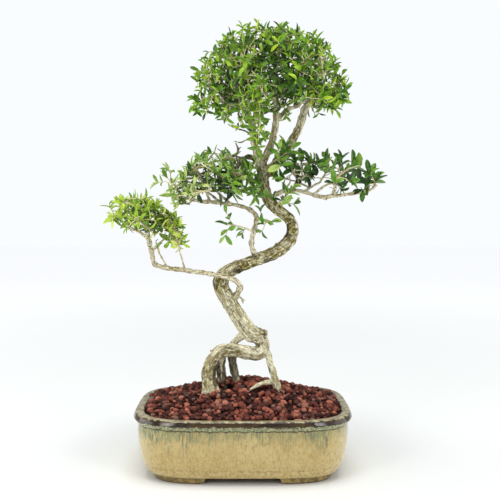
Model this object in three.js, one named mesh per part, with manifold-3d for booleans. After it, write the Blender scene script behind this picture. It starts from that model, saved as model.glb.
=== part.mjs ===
// Serissa bonsai: an S-shaped tree that stands on bare roots above lava gravel, in a glazed pot
// on four feet. Millimetres, +Z up, +Y to the back, origin at the centre of the pot's base.
import * as THREE from "three";
import { mergeVertices } from "three/addons/utils/BufferGeometryUtils.js";
import Module from "manifold-3d";

const wasm = await Module();
wasm.setup();

// ---------------------------------------------------------------- driving dimensions
const CLEARANCE = 0.3; // between pieces that touch
const UP = new THREE.Vector3(0, 0, 1);
const GOLDEN_ANGLE = 2.39996;

const POT_HALF_WIDTH = 105;
const POT_HALF_DEPTH = 82.5;
const PLAN_POINTS = 32;
const RIM_SQUARENESS = 3.9; // exponent of the superellipse that the pot is in plan
const FOOT_SQUARENESS = 4.4;
const POT_HEIGHT = 61.5;
const FLOOR_Z = 12;
const FOOT_HEIGHT = 6;

// [inset from the rim's widest outline, height], from the foot up the outside and down the inside
const POT_PROFILE = [
  [18.4, 0],
  [16.8, FOOT_HEIGHT],
  [14, FOOT_HEIGHT + 0.4],
  [12.8, 7.6],
  [10.2, 11.5],
  [7, 20],
  [4.6, 33],
  [3.7, 43.5],
  [3.7, 52],
  [2.6, 52.7],
  [0.5, 58],
  [0, 59.6],
  [0.8, 60.9],
  [2.4, POT_HEIGHT],
  [8.8, POT_HEIGHT - 0.3],
  [10, 60.1],
  [10.4, 48],
  [12.6, 28],
  [17, FLOOR_Z],
];
const INNER_WALL = POT_PROFILE.slice(-4).reverse(); // from the floor to the rim's inner edge

const FOOT_WALL = 9; // the feet are corner walls of this thickness
const FRONT_GAP = [40, 34.5]; // half-widths between the feet, at the table and at the pot
const SIDE_GAP = [30, 25];
const DRAIN = { x: 45, radius: 8 };
const SCREEN = { side: 26, thickness: 0.8, bar: 3, holes: 2 };

// Gravel heap: a bell over a level just below the rim
const HEAP = { level: 58, rise: 26, y: 6, spreadX: 57, spreadY: 42 };
const GRAVEL_DEPTH = 8.5;
const GRAIN_STEP = 7.4; // lattice step; one grain in three lattice points stands up
const GRAIN_RISE = [1.6, 3.8];
const GRAIN_JITTER = 1.8;
const SOIL_STEP = 28;

// Leaves
const LEAF_LENGTH = 14.5;
const LEAF_SIZE = [0.86, 1.1]; // smallest and largest, as shares of the length above
const LEAF_SECTIONS = [ // share of the length, half-width, height of the rib over the edges
  [0.4, 2.7, 0.75],
  [0.74, 2.1, 0.65],
];
const LEAF_ARCH = 0.12; // droop of the tip, as a share of the length
const LEAF_GAP = 0.12; // between leaves of one spray
const LEAF_TOUCH = 0.001; // mm3 that a leaf may share with its bud and the bud's other leaves
const FACE_PROBE = 0.001; // behind a leaf's face, where its own material has to be
const LEAF_TRIES = 14;
const LEAF_LOOSENESS = [0.2, 0.06]; // radians at the first try, and more at each further one
const STEM_LEAVES = 4;
const SIDE_LEAVES = 3;

// Twigs
const TWIG_RADIUS = 1.1;
const TWIG_TRIES = 8;
const TWIG_SHARE_LEFT = 0.6; // of a twig's volume, once the wood that it grows from is cut away
const STEM_RISE = 0.1; // of the stem's length
const STEM_LOOSENESS = 0.08; // of the stem's length, more at each try
const SIDE_TWIG_AT = 0.6; // share of the stem's length
const SIDE_TWIG_LENGTH = [10, 16];
const SIDE_TWIG_LEAN = 0.65; // along the stem, against 1 across it
const ANCHOR_SPACING = 10;
const ANCHOR_STEP = 0.05; // along a limb
const BUD_RADIUS = 0.95;
const BUD_LENGTH = 1.5;
const LOWER_PAIR_TILT = 1.25; // radians from the twig
const MIDDLE_PAIR_TILT = 0.8;
const UPPER_PAIR_TILT = 0.42;

// ---------------------------------------------------------------- wood
// Each limb is a list of [x, y, z, radius] along its middle. A branch starts inside its parent.
const TRUNK = [
  [24, -14, 129.5, 4.4],
  [16.5, -14, 130, 6.9],
  [9.5, -14, 132, 8],
  [3, -13, 138.5, 7.6],
  [-8, -12, 155, 7],
  [-16.6, -12, 168, 7.2],
  [-21.5, -12, 177.5, 7.2],
  [-21, -11.5, 186, 6.9],
  [-15, -11, 192, 6.3],
  [-6.5, -10, 196.5, 5.8],
  [4.5, -9, 200.5, 5.4],
  [15.5, -7, 204.5, 5.7],
  [27, -5, 208.5, 5.8],
  [38, -2, 214.5, 5.8],
  [46.5, 1, 223, 5.6],
  [50, 3, 233, 5.4],
  [47.5, 4, 243, 5],
  [39, 4, 251, 5],
  [30, 2, 258.5, 5.2],
  [23, 0, 270, 5.3],
  [20.5, -1, 283, 5.2],
  [20, -1, 293, 5.8],
  [17, -2, 302, 4.4],
];

const ROOTS = {
  left: [
    [15, -14, 127, 6],
    [19.5, -15, 120, 5.9],
    [16, -16, 113, 5.9],
    [7, -16, 113, 6.1],
    [-4, -17, 115.5, 6.1],
    [-14.5, -18, 116, 6.2],
    [-22.5, -19, 114, 6.4],
    [-28.8, -20, 106, 6.2],
    [-32.6, -21, 97, 6.2],
    [-33, -21, 87, 6.3],
    [-31.5, -22, 78, 6],
    [-31, -22, 64, 5],
    [-32, -21, 48, 2],
  ],
  leftOuterStrand: [
    [-33, -21, 93, 3],
    [-36, -22, 84, 2.6],
    [-37.5, -22.5, 75, 2.2],
    [-39.5, -22, 58, 1.1],
  ],
  leftInnerStrand: [
    [-31, -22, 92, 2.6],
    [-27, -24, 84, 2],
    [-24, -26, 75, 1.7],
    [-22, -27, 58, 1],
  ],
  right: [
    [16, -14, 127, 3.4],
    [22, -16, 117.5, 3],
    [25, -17, 110, 2.8],
    [26.5, -18, 103, 2.9],
    [29, -19, 95.5, 3.1],
    [31.5, -20, 87, 3.4],
    [34, -21, 78, 3.5],
    [36, -21, 64, 2.6],
    [38, -20, 50, 1.2],
  ],
  rightRootlet: [
    [32, -20, 85, 2.3],
    [26, -21.5, 85.5, 2.2],
    [21, -22.5, 85, 2],
    [15.5, -24, 83.5, 1.8],
    [10.5, -25.5, 80, 1.5],
    [6, -27, 71, 1],
  ],
  middle: [
    [4, -11, 131, 3.6],
    [-5, -6, 125, 3.1],
    [-9.8, -4, 118.5, 3.2],
    [-10.8, -4, 111.5, 3.7],
    [-10.5, -5, 104, 3.9],
    [-9.2, -6, 95, 3.9],
    [-7, -7, 87, 3.4],
    [-6, -8, 78, 3],
    [-5, -8, 60, 1.4],
  ],
  back: [
    [-18, -15, 114, 3.8],
    [-21.3, -11, 106, 4.2],
    [-21.8, -10, 97, 4.3],
    [-21, -9, 88, 4.1],
    [-19, -7, 76, 3.4],
    [-17, -5, 58, 1.4],
  ],
};

const LOW_BRANCHES = {
  low: [
    [-10, -12, 164, 3.6],
    [-4.5, -13.5, 172, 3.2],
    [-2.8, -17, 178.5, 2.8],
    [-7.2, -21.5, 184, 2.5],
    [-16, -24, 187.5, 2.2],
    [-24, -22.5, 189, 2.1],
    [-36.5, -17, 191, 2.2],
    [-51, -12, 192.5, 2.2],
    [-62, -8, 194, 2.2],
    [-74, -4, 195, 2.2],
    [-83.5, -2, 197, 2.3],
    [-89, 0, 200.5, 2.3],
    [-91, 2, 209, 2.4],
    [-93.5, 4, 218, 2.4],
    [-95, 5, 226, 2.1],
    [-97, 6, 236, 1.8],
    [-100, 8, 246, 1.3],
  ],
  lowOuter: [
    [-94, 4.5, 222, 2],
    [-102.5, 6, 230, 1.7],
    [-110.5, 8, 233.5, 1.6],
    [-119.5, 10, 239.5, 1.5],
    [-128, 11, 245.5, 1.3],
  ],
  lowFront: [
    [-94.5, 5, 226, 1.8],
    [-95, -8, 234, 1.5],
    [-99, -18, 241, 1.3],
  ],
  lowBack: [
    [-95.5, 5, 230, 1.8],
    [-92, 18, 238, 1.5],
    [-88, 27, 245, 1.3],
  ],
  lowInner: [
    [-91.5, 2.5, 211, 1.7],
    [-84, 0, 219, 1.4],
    [-76, -3, 226, 1.3],
    [-70, -6, 229, 1.2],
  ],
  lowShoot: [
    [-75, -4, 195, 1.5],
    [-79, -5, 203, 1.2],
    [-83, -7, 210, 1.1],
  ],
  lowShootInner: [
    [-57, -10, 193, 1.5],
    [-60, -11, 204, 1.2],
    [-63, -12, 214, 1.1],
  ],
};

const MIDDLE_BRANCHES = {
  left: [
    [14, -8, 205, 2.8],
    [9, -9, 216, 2.5],
    [9.3, -8, 225, 2.4],
    [12, -6, 235, 2.5],
    [14, -3, 245, 2.5],
    [10, 0, 251, 2.3],
    [4, 2, 255, 2],
    [-6, 4, 258, 1.8],
    [-17, 6, 259.5, 1.9],
    [-28, 7, 261, 1.9],
    [-39.5, 7, 261.5, 1.8],
    [-48, 6, 263, 1.7],
    [-59, 5, 265.5, 1.4],
    [-68, 4, 268.5, 1.1],
  ],
  leftFront: [
    [-12, 5, 259, 1.8],
    [-20, -8, 266, 1.5],
    [-27, -20, 272, 1.3],
  ],
  leftBack: [
    [-22, 6.5, 260, 1.8],
    [-30, 18, 267, 1.5],
    [-38, 27, 273, 1.3],
  ],
  leftRiser: [
    [-33, 7, 261, 1.8],
    [-37, 4, 272, 1.5],
    [-42, 1, 284, 1.3],
    [-46, -2, 292, 1.1],
  ],
  leftUpper: [
    [18, -2, 300, 2.8],
    [7, -6, 305.5, 2.3],
    [0.5, -8, 303.5, 2.1],
    [-5.5, -10, 295.5, 1.8],
    [-12, -12, 288, 1.6],
    [-20, -14, 282, 1.3],
  ],
  leftUpperTwig: [
    [1, -8, 303.5, 1.5],
    [-6, -7, 306, 1.1],
    [-17, -5, 309, 1],
  ],
  right: [
    [25, 0, 263, 2.6],
    [34, -3, 268.5, 2.3],
    [41, -5, 272, 2.2],
    [51.5, -7, 272.5, 1.9],
    [63, -9, 270, 1.9],
    [76.5, -10, 266, 2],
    [90, -10, 266.5, 1.7],
    [104.5, -9, 268.5, 1.6],
    [118, -8, 270.5, 1.5],
    [127, -7, 273, 1.3],
    [133, -6, 278, 1.1],
  ],
  rightInner: [
    [49, -6.5, 272.5, 1.7],
    [54, -4, 281, 1.5],
    [62, -1, 287, 1.3],
    [69, 2, 290, 1.1],
  ],
  rightFront: [
    [70, -10, 268, 1.7],
    [78, -20, 275, 1.5],
    [88, -29, 280, 1.3],
  ],
  rightBack: [
    [60, -8.5, 270.5, 1.7],
    [70, 6, 277, 1.5],
    [80, 18, 282, 1.3],
  ],
  rightRiser: [
    [88, -10, 266.5, 1.6],
    [91, -8, 276, 1.4],
    [96, -6, 285, 1.2],
  ],
};

const CROWN_BRANCHES = {
  leftLimb: [
    [17, -2, 297, 4],
    [13.5, -4, 312, 3.4],
    [10.5, -6, 325, 3],
    [8.5, -7, 339, 2.7],
    [3, -9, 350, 2.1],
    [-3, -10, 360, 1.8],
    [-8, -9, 376, 1.6],
    [-14, -6, 394, 1.2],
  ],
  leftLimbOut: [
    [2, -9, 352, 1.8],
    [-14, -12, 357, 1.6],
    [-30, -13, 364, 1.3],
  ],
  leftLimbFront: [
    [8.5, -7, 338, 2.3],
    [12, -11, 347, 2],
    [12, -22, 358, 1.6],
    [6, -36, 368, 1.3],
  ],
  leftLimbBack: [
    [9.5, -6, 332, 2.2],
    [6, 8, 350, 1.8],
    [-4, 22, 364, 1.5],
    [-10, 34, 376, 1.2],
  ],
  middleLimb: [
    [19, -2, 300, 3.8],
    [27, -2, 315, 3.2],
    [31, -2, 328, 3],
    [33, -2, 340, 2.9],
    [33, -3, 354, 2.4],
    [31, -6, 368, 2],
    [33, -5, 384, 1.6],
    [34, -2, 404, 1.2],
  ],
  middleLimbRight: [
    [33.5, -2, 342, 2.6],
    [44, -1, 352.5, 2.2],
    [56, 0, 358, 1.7],
    [66, -2, 368, 1.3],
  ],
  middleLimbFront: [
    [32.5, -3, 350, 2],
    [38, -18, 362, 1.6],
    [42, -34, 372, 1.2],
  ],
  middleLimbBack: [
    [33, -2, 345, 2.1],
    [34, 16, 360, 1.7],
    [34, 32, 374, 1.3],
  ],
  rightLimb: [
    [22, 0, 287, 4.4],
    [33, 2, 297, 3.9],
    [40.5, 4, 305.5, 3.8],
    [48, 6, 320, 3.9],
    [55.5, 8, 333, 3.7],
    [59.5, 9, 344, 3.7],
    [63, 10, 355.5, 3.4],
    [68, 10, 364, 2.6],
    [70, 8, 382, 1.8],
    [68, 4, 398, 1.2],
  ],
  rightLimbOut: [
    [66, 10, 361, 2.2],
    [80, 8, 367, 1.7],
    [93, 6, 372, 1.3],
  ],
  rightLimbFront: [
    [63.5, 9.5, 357, 2],
    [74, -8, 367, 1.6],
    [80, -24, 374, 1.2],
  ],
  rightLimbBack: [
    [63, 10, 354, 2],
    [69, 25, 365, 1.6],
    [74, 37, 374, 1.2],
  ],
};

// Foliage pads: the limbs that feed each one, the dome that its sprays reach, and their number
const PADS = [
  {
    name: "crown",
    limbs: Object.values(CROWN_BRANCHES),
    from: 0.5,
    dome: { sprays: 19, centre: [27, 0, 374], reach: [71, 54, 61], lowest: -0.3, turn: 0, lean: 0 },
    colour: "#4a7d22",
  },
  {
    name: "left_pad",
    limbs: [MIDDLE_BRANCHES.left, MIDDLE_BRANCHES.leftFront, MIDDLE_BRANCHES.leftBack,
      MIDDLE_BRANCHES.leftRiser, MIDDLE_BRANCHES.leftUpper],
    from: 0.5,
    dome: { sprays: 8, centre: [-33, -2, 267], reach: [41, 34, 41], lowest: 0.02, turn: 0, lean: 0.18 },
    colour: "#3f6d20",
  },
  {
    name: "right_pad",
    limbs: [MIDDLE_BRANCHES.right, MIDDLE_BRANCHES.rightInner, MIDDLE_BRANCHES.rightFront,
      MIDDLE_BRANCHES.rightBack, MIDDLE_BRANCHES.rightRiser],
    from: 0.35,
    dome: { sprays: 8, centre: [82, -7, 275], reach: [53, 33, 30], lowest: 0.04, turn: 0.57, lean: -0.08 },
    colour: "#2f6124",
  },
  {
    name: "low_pad",
    limbs: [LOW_BRANCHES.low, LOW_BRANCHES.lowOuter, LOW_BRANCHES.lowFront, LOW_BRANCHES.lowBack,
      LOW_BRANCHES.lowInner],
    from: 0.6,
    dome: { sprays: 7, centre: [-96, 5, 235], reach: [36, 30, 26], lowest: -0.2, turn: 1.2, lean: -0.4 },
    colour: "#5c8a2c",
  },
  {
    name: "inner",
    limbs: [TRUNK, MIDDLE_BRANCHES.left, CROWN_BRANCHES.leftLimb, LOW_BRANCHES.lowShoot,
      LOW_BRANCHES.lowShootInner],
    from: 0.15,
    single: true,
    tips: [
      [35, -19, 303],
      [38, -21, 262],
      [-10, -13, 238],
      [28, -16, 241],
      [-12, -18, 346],
      [-86, -9, 221],
      [-65, -14, 226],
    ],
    colour: "#6d9a34",
  },
];

// ---------------------------------------------------------------- solids
// Repeatable random numbers between 0 and 1.
function seededDraws(seed) {
  let state = seed;
  return () => {
    state = (state + 0x6d2b79f5) | 0;
    let mixed = Math.imul(state ^ (state >>> 15), 1 | state);
    mixed = (mixed + Math.imul(mixed ^ (mixed >>> 7), 61 | mixed)) ^ mixed;
    return ((mixed ^ (mixed >>> 14)) >>> 0) / 4294967296;
  };
}

// A closed three.js geometry as a manifold-3d solid.
function solidFrom(geometry) {
  const bare = geometry.clone();
  bare.deleteAttribute("normal");
  bare.deleteAttribute("uv");
  const merged = mergeVertices(bare, 1e-4);
  const corners = merged.index.array;
  const triangles = [];
  for (let i = 0; i < corners.length; i += 3) {
    const [a, b, c] = corners.slice(i, i + 3);
    if (a !== b && b !== c && c !== a) triangles.push(a, b, c);
  }
  return new wasm.Manifold(
    new wasm.Mesh({
      numProp: 3,
      vertProperties: new Float32Array(merged.attributes.position.array),
      triVerts: new Uint32Array(triangles),
    }),
  );
}

// A closed solid through rings of points, each ring anticlockwise as seen from the next one.
// Equal points in the last ring make a tip.
function skin(rings) {
  const count = rings[0].length;
  const positions = rings.flat().flatMap((point) => point.toArray());
  const index = [];
  for (let ring = 0; ring + 1 < rings.length; ring += 1) {
    for (let i = 0; i < count; i += 1) {
      const a = ring * count + i;
      const b = ring * count + ((i + 1) % count);
      index.push(a, b, b + count, a, b + count, a + count);
    }
  }
  const last = (rings.length - 1) * count;
  for (let i = 1; i + 1 < count; i += 1) {
    index.push(0, i + 1, i);
    index.push(last, last + i, last + i + 1);
  }
  const geometry = new THREE.BufferGeometry();
  geometry.setAttribute("position", new THREE.Float32BufferAttribute(positions, 3));
  geometry.setIndex(index);
  return solidFrom(geometry);
}

function union(solids) {
  return wasm.Manifold.union(solids);
}

// The biggest body of a solid that a cut may have left in several.
function biggestBody(solid) {
  return solid.decompose().reduce((a, b) => (a.volume() > b.volume() ? a : b));
}

function meshOf(name, solid, material) {
  const { vertProperties, triVerts, numProp, numVert } = solid.getMesh();
  const positions = new Float32Array(numVert * 3);
  for (let i = 0; i < numVert; i += 1) {
    positions.set(vertProperties.subarray(i * numProp, i * numProp + 3), i * 3);
  }
  const geometry = new THREE.BufferGeometry();
  geometry.setAttribute("position", new THREE.BufferAttribute(positions, 3));
  geometry.setIndex(new THREE.BufferAttribute(triVerts, 1));
  geometry.computeVertexNormals();
  const mesh = new THREE.Mesh(geometry, material);
  mesh.name = name;
  return mesh;
}

// ---------------------------------------------------------------- pot
// The pot's outline in plan at one height, set in from the rim's widest line.
function potOutline(inset, z, count) {
  const power = 2 / THREE.MathUtils.lerp(FOOT_SQUARENESS, RIM_SQUARENESS, z / POT_HEIGHT);
  return Array.from({ length: count }, (_, i) => {
    const angle = (i / count) * 2 * Math.PI;
    const c = Math.cos(angle);
    const s = Math.sin(angle);
    return new THREE.Vector3(
      (POT_HALF_WIDTH - inset) * Math.sign(c) * Math.abs(c) ** power,
      (POT_HALF_DEPTH - inset) * Math.sign(s) * Math.abs(s) ** power,
      z,
    );
  });
}

function potLoft(profile, count = PLAN_POINTS) {
  return skin(profile.map(([inset, z]) => potOutline(inset, z, count)));
}

// A prism that runs right through under the pot, wider at the table than at the top.
function gapBetweenFeet([tableHalf, topHalf], turn) {
  const section = new THREE.Shape([
    new THREE.Vector2(-tableHalf - 1, -1),
    new THREE.Vector2(tableHalf + 1, -1),
    new THREE.Vector2(topHalf, FOOT_HEIGHT),
    new THREE.Vector2(-topHalf, FOOT_HEIGHT),
  ]);
  const length = 2 * POT_HALF_WIDTH;
  const prism = new THREE.ExtrudeGeometry(section, { depth: length, bevelEnabled: false });
  prism.translate(0, 0, -length / 2);
  prism.rotateX(Math.PI / 2);
  prism.rotateZ(turn);
  return solidFrom(prism);
}

function drainHole(x) {
  const hole = new THREE.CylinderGeometry(DRAIN.radius, DRAIN.radius, 3 * FLOOR_Z, 16);
  hole.rotateX(Math.PI / 2);
  hole.translate(x, 0, FLOOR_Z / 2);
  return solidFrom(hole);
}

function makePot() {
  const recess = potLoft([
    [18 + FOOT_WALL, -1],
    [18 + FOOT_WALL, FOOT_HEIGHT - 0.4],
  ]);
  const cuts = [
    recess,
    gapBetweenFeet(FRONT_GAP, 0),
    gapBetweenFeet(SIDE_GAP, Math.PI / 2),
    drainHole(-DRAIN.x),
    drainHole(DRAIN.x),
  ];
  return cuts.reduce((pot, cut) => pot.subtract(cut), potLoft(POT_PROFILE));
}

function box(size, centre) {
  return solidFrom(new THREE.BoxGeometry(...size).translate(...centre));
}

// A square of plastic mesh over a drain hole, which keeps the soil in.
function makeScreen(x) {
  const middle = FLOOR_Z + CLEARANCE + SCREEN.thickness / 2;
  const pitch = (SCREEN.side - SCREEN.bar) / SCREEN.holes;
  const hole = pitch - SCREEN.bar;
  let screen = box([SCREEN.side, SCREEN.side, SCREEN.thickness], [x, 0, middle]);
  for (let column = 0; column < SCREEN.holes; column += 1) {
    for (let row = 0; row < SCREEN.holes; row += 1) {
      const offset = (SCREEN.holes - 1) / 2;
      const centre = [x + (column - offset) * pitch, (row - offset) * pitch, middle];
      screen = screen.subtract(box([hole, hole, 2 * SCREEN.thickness], centre));
    }
  }
  return screen;
}

function screenPocket(x) {
  const side = SCREEN.side + 2 * CLEARANCE;
  const height = SCREEN.thickness + 3 * CLEARANCE;
  return box([side, side, height], [x, 0, FLOOR_Z + height / 2]);
}

// ---------------------------------------------------------------- soil and gravel
function heapHeight(x, y) {
  const across = x / HEAP.spreadX;
  const along = (y - HEAP.y) / HEAP.spreadY;
  return HEAP.level + HEAP.rise * Math.exp(-0.5 * (across * across + along * along));
}

// A block whose top is a triangle lattice at the given height; every third point of the
// lattice may stand up as a grain.
function reliefBlock(step, heightOf) {
  const rowStep = (step * Math.sqrt(3)) / 2;
  const rows = Math.ceil(POT_HALF_DEPTH / rowStep);
  const columns = Math.ceil((POT_HALF_WIDTH + POT_HALF_DEPTH) / step) + 1;
  const rings = [];
  for (let row = -rows; row <= rows; row += 1) {
    const ring = [];
    for (let column = -columns; column <= columns; column += 1) {
      const x = (column - row / 2) * step;
      const stands = (((column - 2 * row) % 3) + 3) % 3 === 0;
      ring.push(heightOf(x, row * rowStep, stands));
    }
    const first = ring[0];
    const last = ring[ring.length - 1];
    ring.unshift(new THREE.Vector3(first.x, first.y, FLOOR_Z - 2));
    ring.push(new THREE.Vector3(last.x, last.y, FLOOR_Z - 2));
    rings.push(ring);
  }
  return skin(rings);
}

function soilBlock(lift) {
  return reliefBlock(SOIL_STEP, (x, y) => (
    new THREE.Vector3(x, y, heapHeight(x, y) - GRAVEL_DEPTH + lift)
  ));
}

function gravelBlock() {
  const draw = seededDraws(5);
  return reliefBlock(GRAIN_STEP, (x, y, stands) => {
    const shiftX = (draw() - 0.5) * GRAIN_JITTER;
    const shiftY = (draw() - 0.5) * GRAIN_JITTER;
    const rise = THREE.MathUtils.lerp(...GRAIN_RISE, draw());
    const z = heapHeight(x, y) + (stands ? rise : -rise / 3);
    return new THREE.Vector3(x + shiftX, y + shiftY, z);
  });
}

// What the pot's inside holds, up to well above the rim.
function potFilling() {
  const fill = INNER_WALL.map(([inset, z]) => [inset + CLEARANCE, z]);
  fill[0][1] += CLEARANCE;
  fill.push([fill[fill.length - 1][0], 1.6 * POT_HEIGHT]);
  return potLoft(fill, PLAN_POINTS / 2);
}

// ---------------------------------------------------------------- limbs
function curveOf(points) {
  const middle = points.map(([x, y, z]) => new THREE.Vector3(x, y, z));
  return new THREE.CatmullRomCurve3(middle, false, "catmullrom", 0.5);
}

function radiusAt(points, t) {
  const place = t * (points.length - 1);
  const before = Math.min(Math.floor(place), points.length - 2);
  return THREE.MathUtils.lerp(points[before][3], points[before + 1][3], place - before);
}

// Rings across a limb. Its section has soft lobes that wind slowly round it.
function limbRings(points, { sides, steps, lobes = 0, grow = 0 }) {
  const curve = curveOf(points);
  const count = steps * (points.length - 1);
  let normal = new THREE.Vector3(0, 1, 0);
  return Array.from({ length: count + 1 }, (_, ring) => {
    const t = ring / count;
    const tangent = curve.getTangent(t);
    normal = normal.clone().addScaledVector(tangent, -normal.dot(tangent)).normalize();
    const side = new THREE.Vector3().crossVectors(tangent, normal);
    const middle = curve.getPoint(t);
    if (ring === 0) middle.addScaledVector(tangent, -grow);
    if (ring === count) middle.addScaledVector(tangent, grow);
    const wind = t * (points.length - 1) * 0.45;
    return Array.from({ length: sides }, (_unused, i) => {
      const angle = (i / sides) * 2 * Math.PI;
      const lobe = Math.cos(3 * angle + wind) + 0.7 * Math.cos(5 * angle - 1.6 * wind);
      const radius = radiusAt(points, t) * (1 + lobes * lobe) + grow;
      return middle.clone()
        .addScaledVector(normal, radius * Math.cos(angle))
        .addScaledVector(side, radius * Math.sin(angle));
    });
  });
}

function limb(points, options) {
  return skin(limbRings(points, options));
}

const STYLES = {
  trunk: { sides: 10, steps: 2, lobes: 0.07 },
  thickRoot: { sides: 8, steps: 2, lobes: 0.08 },
  root: { sides: 6, steps: 1, lobes: 0.05 },
  limb: { sides: 6, steps: 1 },
  branch: { sides: 5, steps: 1 },
  thinBranch: { sides: 4, steps: 1 },
};

function rootLimbs(grow) {
  return Object.entries(ROOTS).map(([name, points]) => (
    limb(points, { ...(name === "left" ? STYLES.thickRoot : STYLES.root), grow })
  ));
}

function branchStyle(points) {
  const radius = points[0][3];
  if (radius > 3.5) return STYLES.limb;
  return radius > 2 ? STYLES.branch : STYLES.thinBranch;
}

function branchLimbs(grow) {
  const groups = [LOW_BRANCHES, MIDDLE_BRANCHES, CROWN_BRANCHES];
  return groups.flatMap((group) => Object.values(group)).map((points) => (
    limb(points, { ...branchStyle(points), grow })
  ));
}

function makeTree(grow = 0) {
  return union([limb(TRUNK, { ...STYLES.trunk, grow }), ...rootLimbs(grow), ...branchLimbs(grow)]);
}

// ---------------------------------------------------------------- sprays
// Two directions square to a given one, the first as level as it can be.
function across(direction) {
  const level = new THREE.Vector3().crossVectors(UP, direction);
  if (level.lengthSq() < 0.01) level.set(1, 0, 0);
  level.normalize();
  return [level, new THREE.Vector3().crossVectors(direction, level)];
}

// A twig through the given points that ends in a bud. Leaves grow straight out of the faces of
// the bud: two pairs from its lower band, square to each other, and a third from its top.
class Shoot {
  constructor(points) {
    this.corners = [];
    this.faces = [];
    const last = points.length - 1;
    this.axis = points[last].clone().sub(points[last - 1]).normalize();
    [this.level, this.other] = across(this.axis);
    const rings = points.map((point, i) => (
      this.addRing(point, THREE.MathUtils.lerp(TWIG_RADIUS, BUD_RADIUS, i / last), 0)
    ));
    const shoulder = points[last].clone().addScaledVector(this.axis, BUD_LENGTH);
    const upper = this.addRing(shoulder, BUD_RADIUS, Math.PI / 4);
    const [tip] = this.add([shoulder.clone().addScaledVector(this.axis, 0.6 * BUD_LENGTH)]);
    const lower = rings[last];
    this.faces.push([rings[0][0], rings[0][2], rings[0][1]], [rings[0][0], rings[0][3], rings[0][2]]);
    rings.slice(1).forEach((ring, i) => this.band(rings[i], ring));
    this.sockets = [];
    for (let i = 0; i < 4; i += 1) {
      const next = (i + 1) % 4;
      this.faces.push([lower[next], upper[next], upper[i]]);
      this.sockets.push({
        face: [lower[next], upper[i], lower[i]],
        azimuth: (i + 0.5) * (Math.PI / 2),
        tilt: i % 2 === 0 ? LOWER_PAIR_TILT : MIDDLE_PAIR_TILT,
      });
      this.sockets.push({
        face: [upper[next], tip, upper[i]],
        azimuth: (i + 1) * (Math.PI / 2),
        tilt: UPPER_PAIR_TILT,
      });
    }
  }

  add(points) {
    const first = this.corners.length;
    this.corners.push(...points);
    return points.map((_, i) => first + i);
  }

  // Four corners round the twig, the first turned by the phase.
  addRing(middle, radius, phase) {
    return this.add([0, 1, 2, 3].map((corner) => {
      const angle = phase + (corner * Math.PI) / 2;
      return middle.clone()
        .addScaledVector(this.level, radius * Math.cos(angle))
        .addScaledVector(this.other, radius * Math.sin(angle));
    }));
  }

  band(before, after) {
    before.forEach((corner, i) => {
      const next = (i + 1) % before.length;
      this.faces.push([corner, before[next], after[next]], [corner, after[next], after[i]]);
    });
  }

  direction(azimuth, tilt) {
    return this.axis.clone().multiplyScalar(Math.cos(tilt))
      .addScaledVector(this.level, Math.sin(tilt) * Math.cos(azimuth))
      .addScaledVector(this.other, Math.sin(tilt) * Math.sin(azimuth));
  }

  // Sections of an elliptic leaf from its socket out: right edge, rib and left edge, then the tip.
  leafSections(socket, direction, size) {
    const base = socket.face.map((corner) => this.corners[corner]);
    const root = base[0].clone().add(base[1]).add(base[2]).divideScalar(3);
    const lift = this.axis.clone().multiplyScalar(0.75).addScaledVector(UP, 0.35);
    const side = new THREE.Vector3().crossVectors(lift, direction).normalize();
    const top = new THREE.Vector3().crossVectors(direction, side);
    const length = LEAF_LENGTH * size;
    return [...LEAF_SECTIONS, [1, 0, 0]].map(([share, halfWidth, rib]) => {
      const middle = root.clone()
        .addScaledVector(direction, share * length)
        .addScaledVector(top, -LEAF_ARCH * length * share * share);
      return [
        middle.clone().addScaledVector(side, halfWidth * size),
        middle.clone().addScaledVector(top, rib),
        middle.clone().addScaledVector(side, -halfWidth * size),
      ];
    });
  }

  // Turns the order of the socket's corners to the one that lies nearest to the first section's,
  // so that the leaf's base isn't wrung.
  unwring(socket, [first]) {
    const turns = socket.face.map((_, turn) => socket.face.map((_, i) => socket.face[(i + turn) % 3]));
    const apart = (face) => face.reduce((sum, corner, i) => (
      sum + this.corners[corner].distanceToSquared(first[i])
    ), 0);
    socket.face = turns.reduce((best, face) => (apart(face) < apart(best) ? face : best));
  }

  leafSolid(socket, sections) {
    return skin([socket.face.map((corner) => this.corners[corner]), ...sections]);
  }

  solid() {
    for (const { face, leaf } of this.sockets) {
      if (!leaf) {
        this.faces.push(face);
        continue;
      }
      let before = face;
      for (const section of leaf.slice(0, -1)) {
        const after = this.add(section);
        this.band(before, after);
        before = after;
      }
      const [tip] = this.add([leaf[leaf.length - 1][1]]);
      before.forEach((corner, i) => this.faces.push([corner, before[(i + 1) % 3], tip]));
    }
    this.sockets = [];
    const geometry = new THREE.BufferGeometry();
    const positions = this.corners.flatMap((corner) => corner.toArray());
    geometry.setAttribute("position", new THREE.Float32BufferAttribute(positions, 3));
    geometry.setIndex(this.faces.flat());
    return solidFrom(geometry);
  }
}

// Triangles of a solid, each as its three corners.
function trianglesOf(solid) {
  const { numProp, vertProperties, triVerts } = solid.getMesh();
  const corner = (i) => new THREE.Vector3(...vertProperties.subarray(i * numProp, i * numProp + 3));
  return Array.from({ length: triVerts.length / 3 }, (_, i) => (
    new THREE.Triangle(...[0, 1, 2].map((k) => corner(triVerts[3 * i + k])))
  ));
}

// How many times the faces go round a point, by the solid angle that each one fills.
function windingOf(point, triangles) {
  const angle = triangles.reduce((sum, triangle) => {
    const [a, b, c] = [triangle.a, triangle.b, triangle.c].map((corner) => corner.clone().sub(point));
    const [la, lb, lc] = [a.length(), b.length(), c.length()];
    const spread = la * lb * lc + a.dot(b) * lc + b.dot(c) * la + c.dot(a) * lb;
    return sum + 2 * Math.atan2(a.dot(b.clone().cross(c)), spread);
  }, 0);
  return angle / (4 * Math.PI);
}

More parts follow.
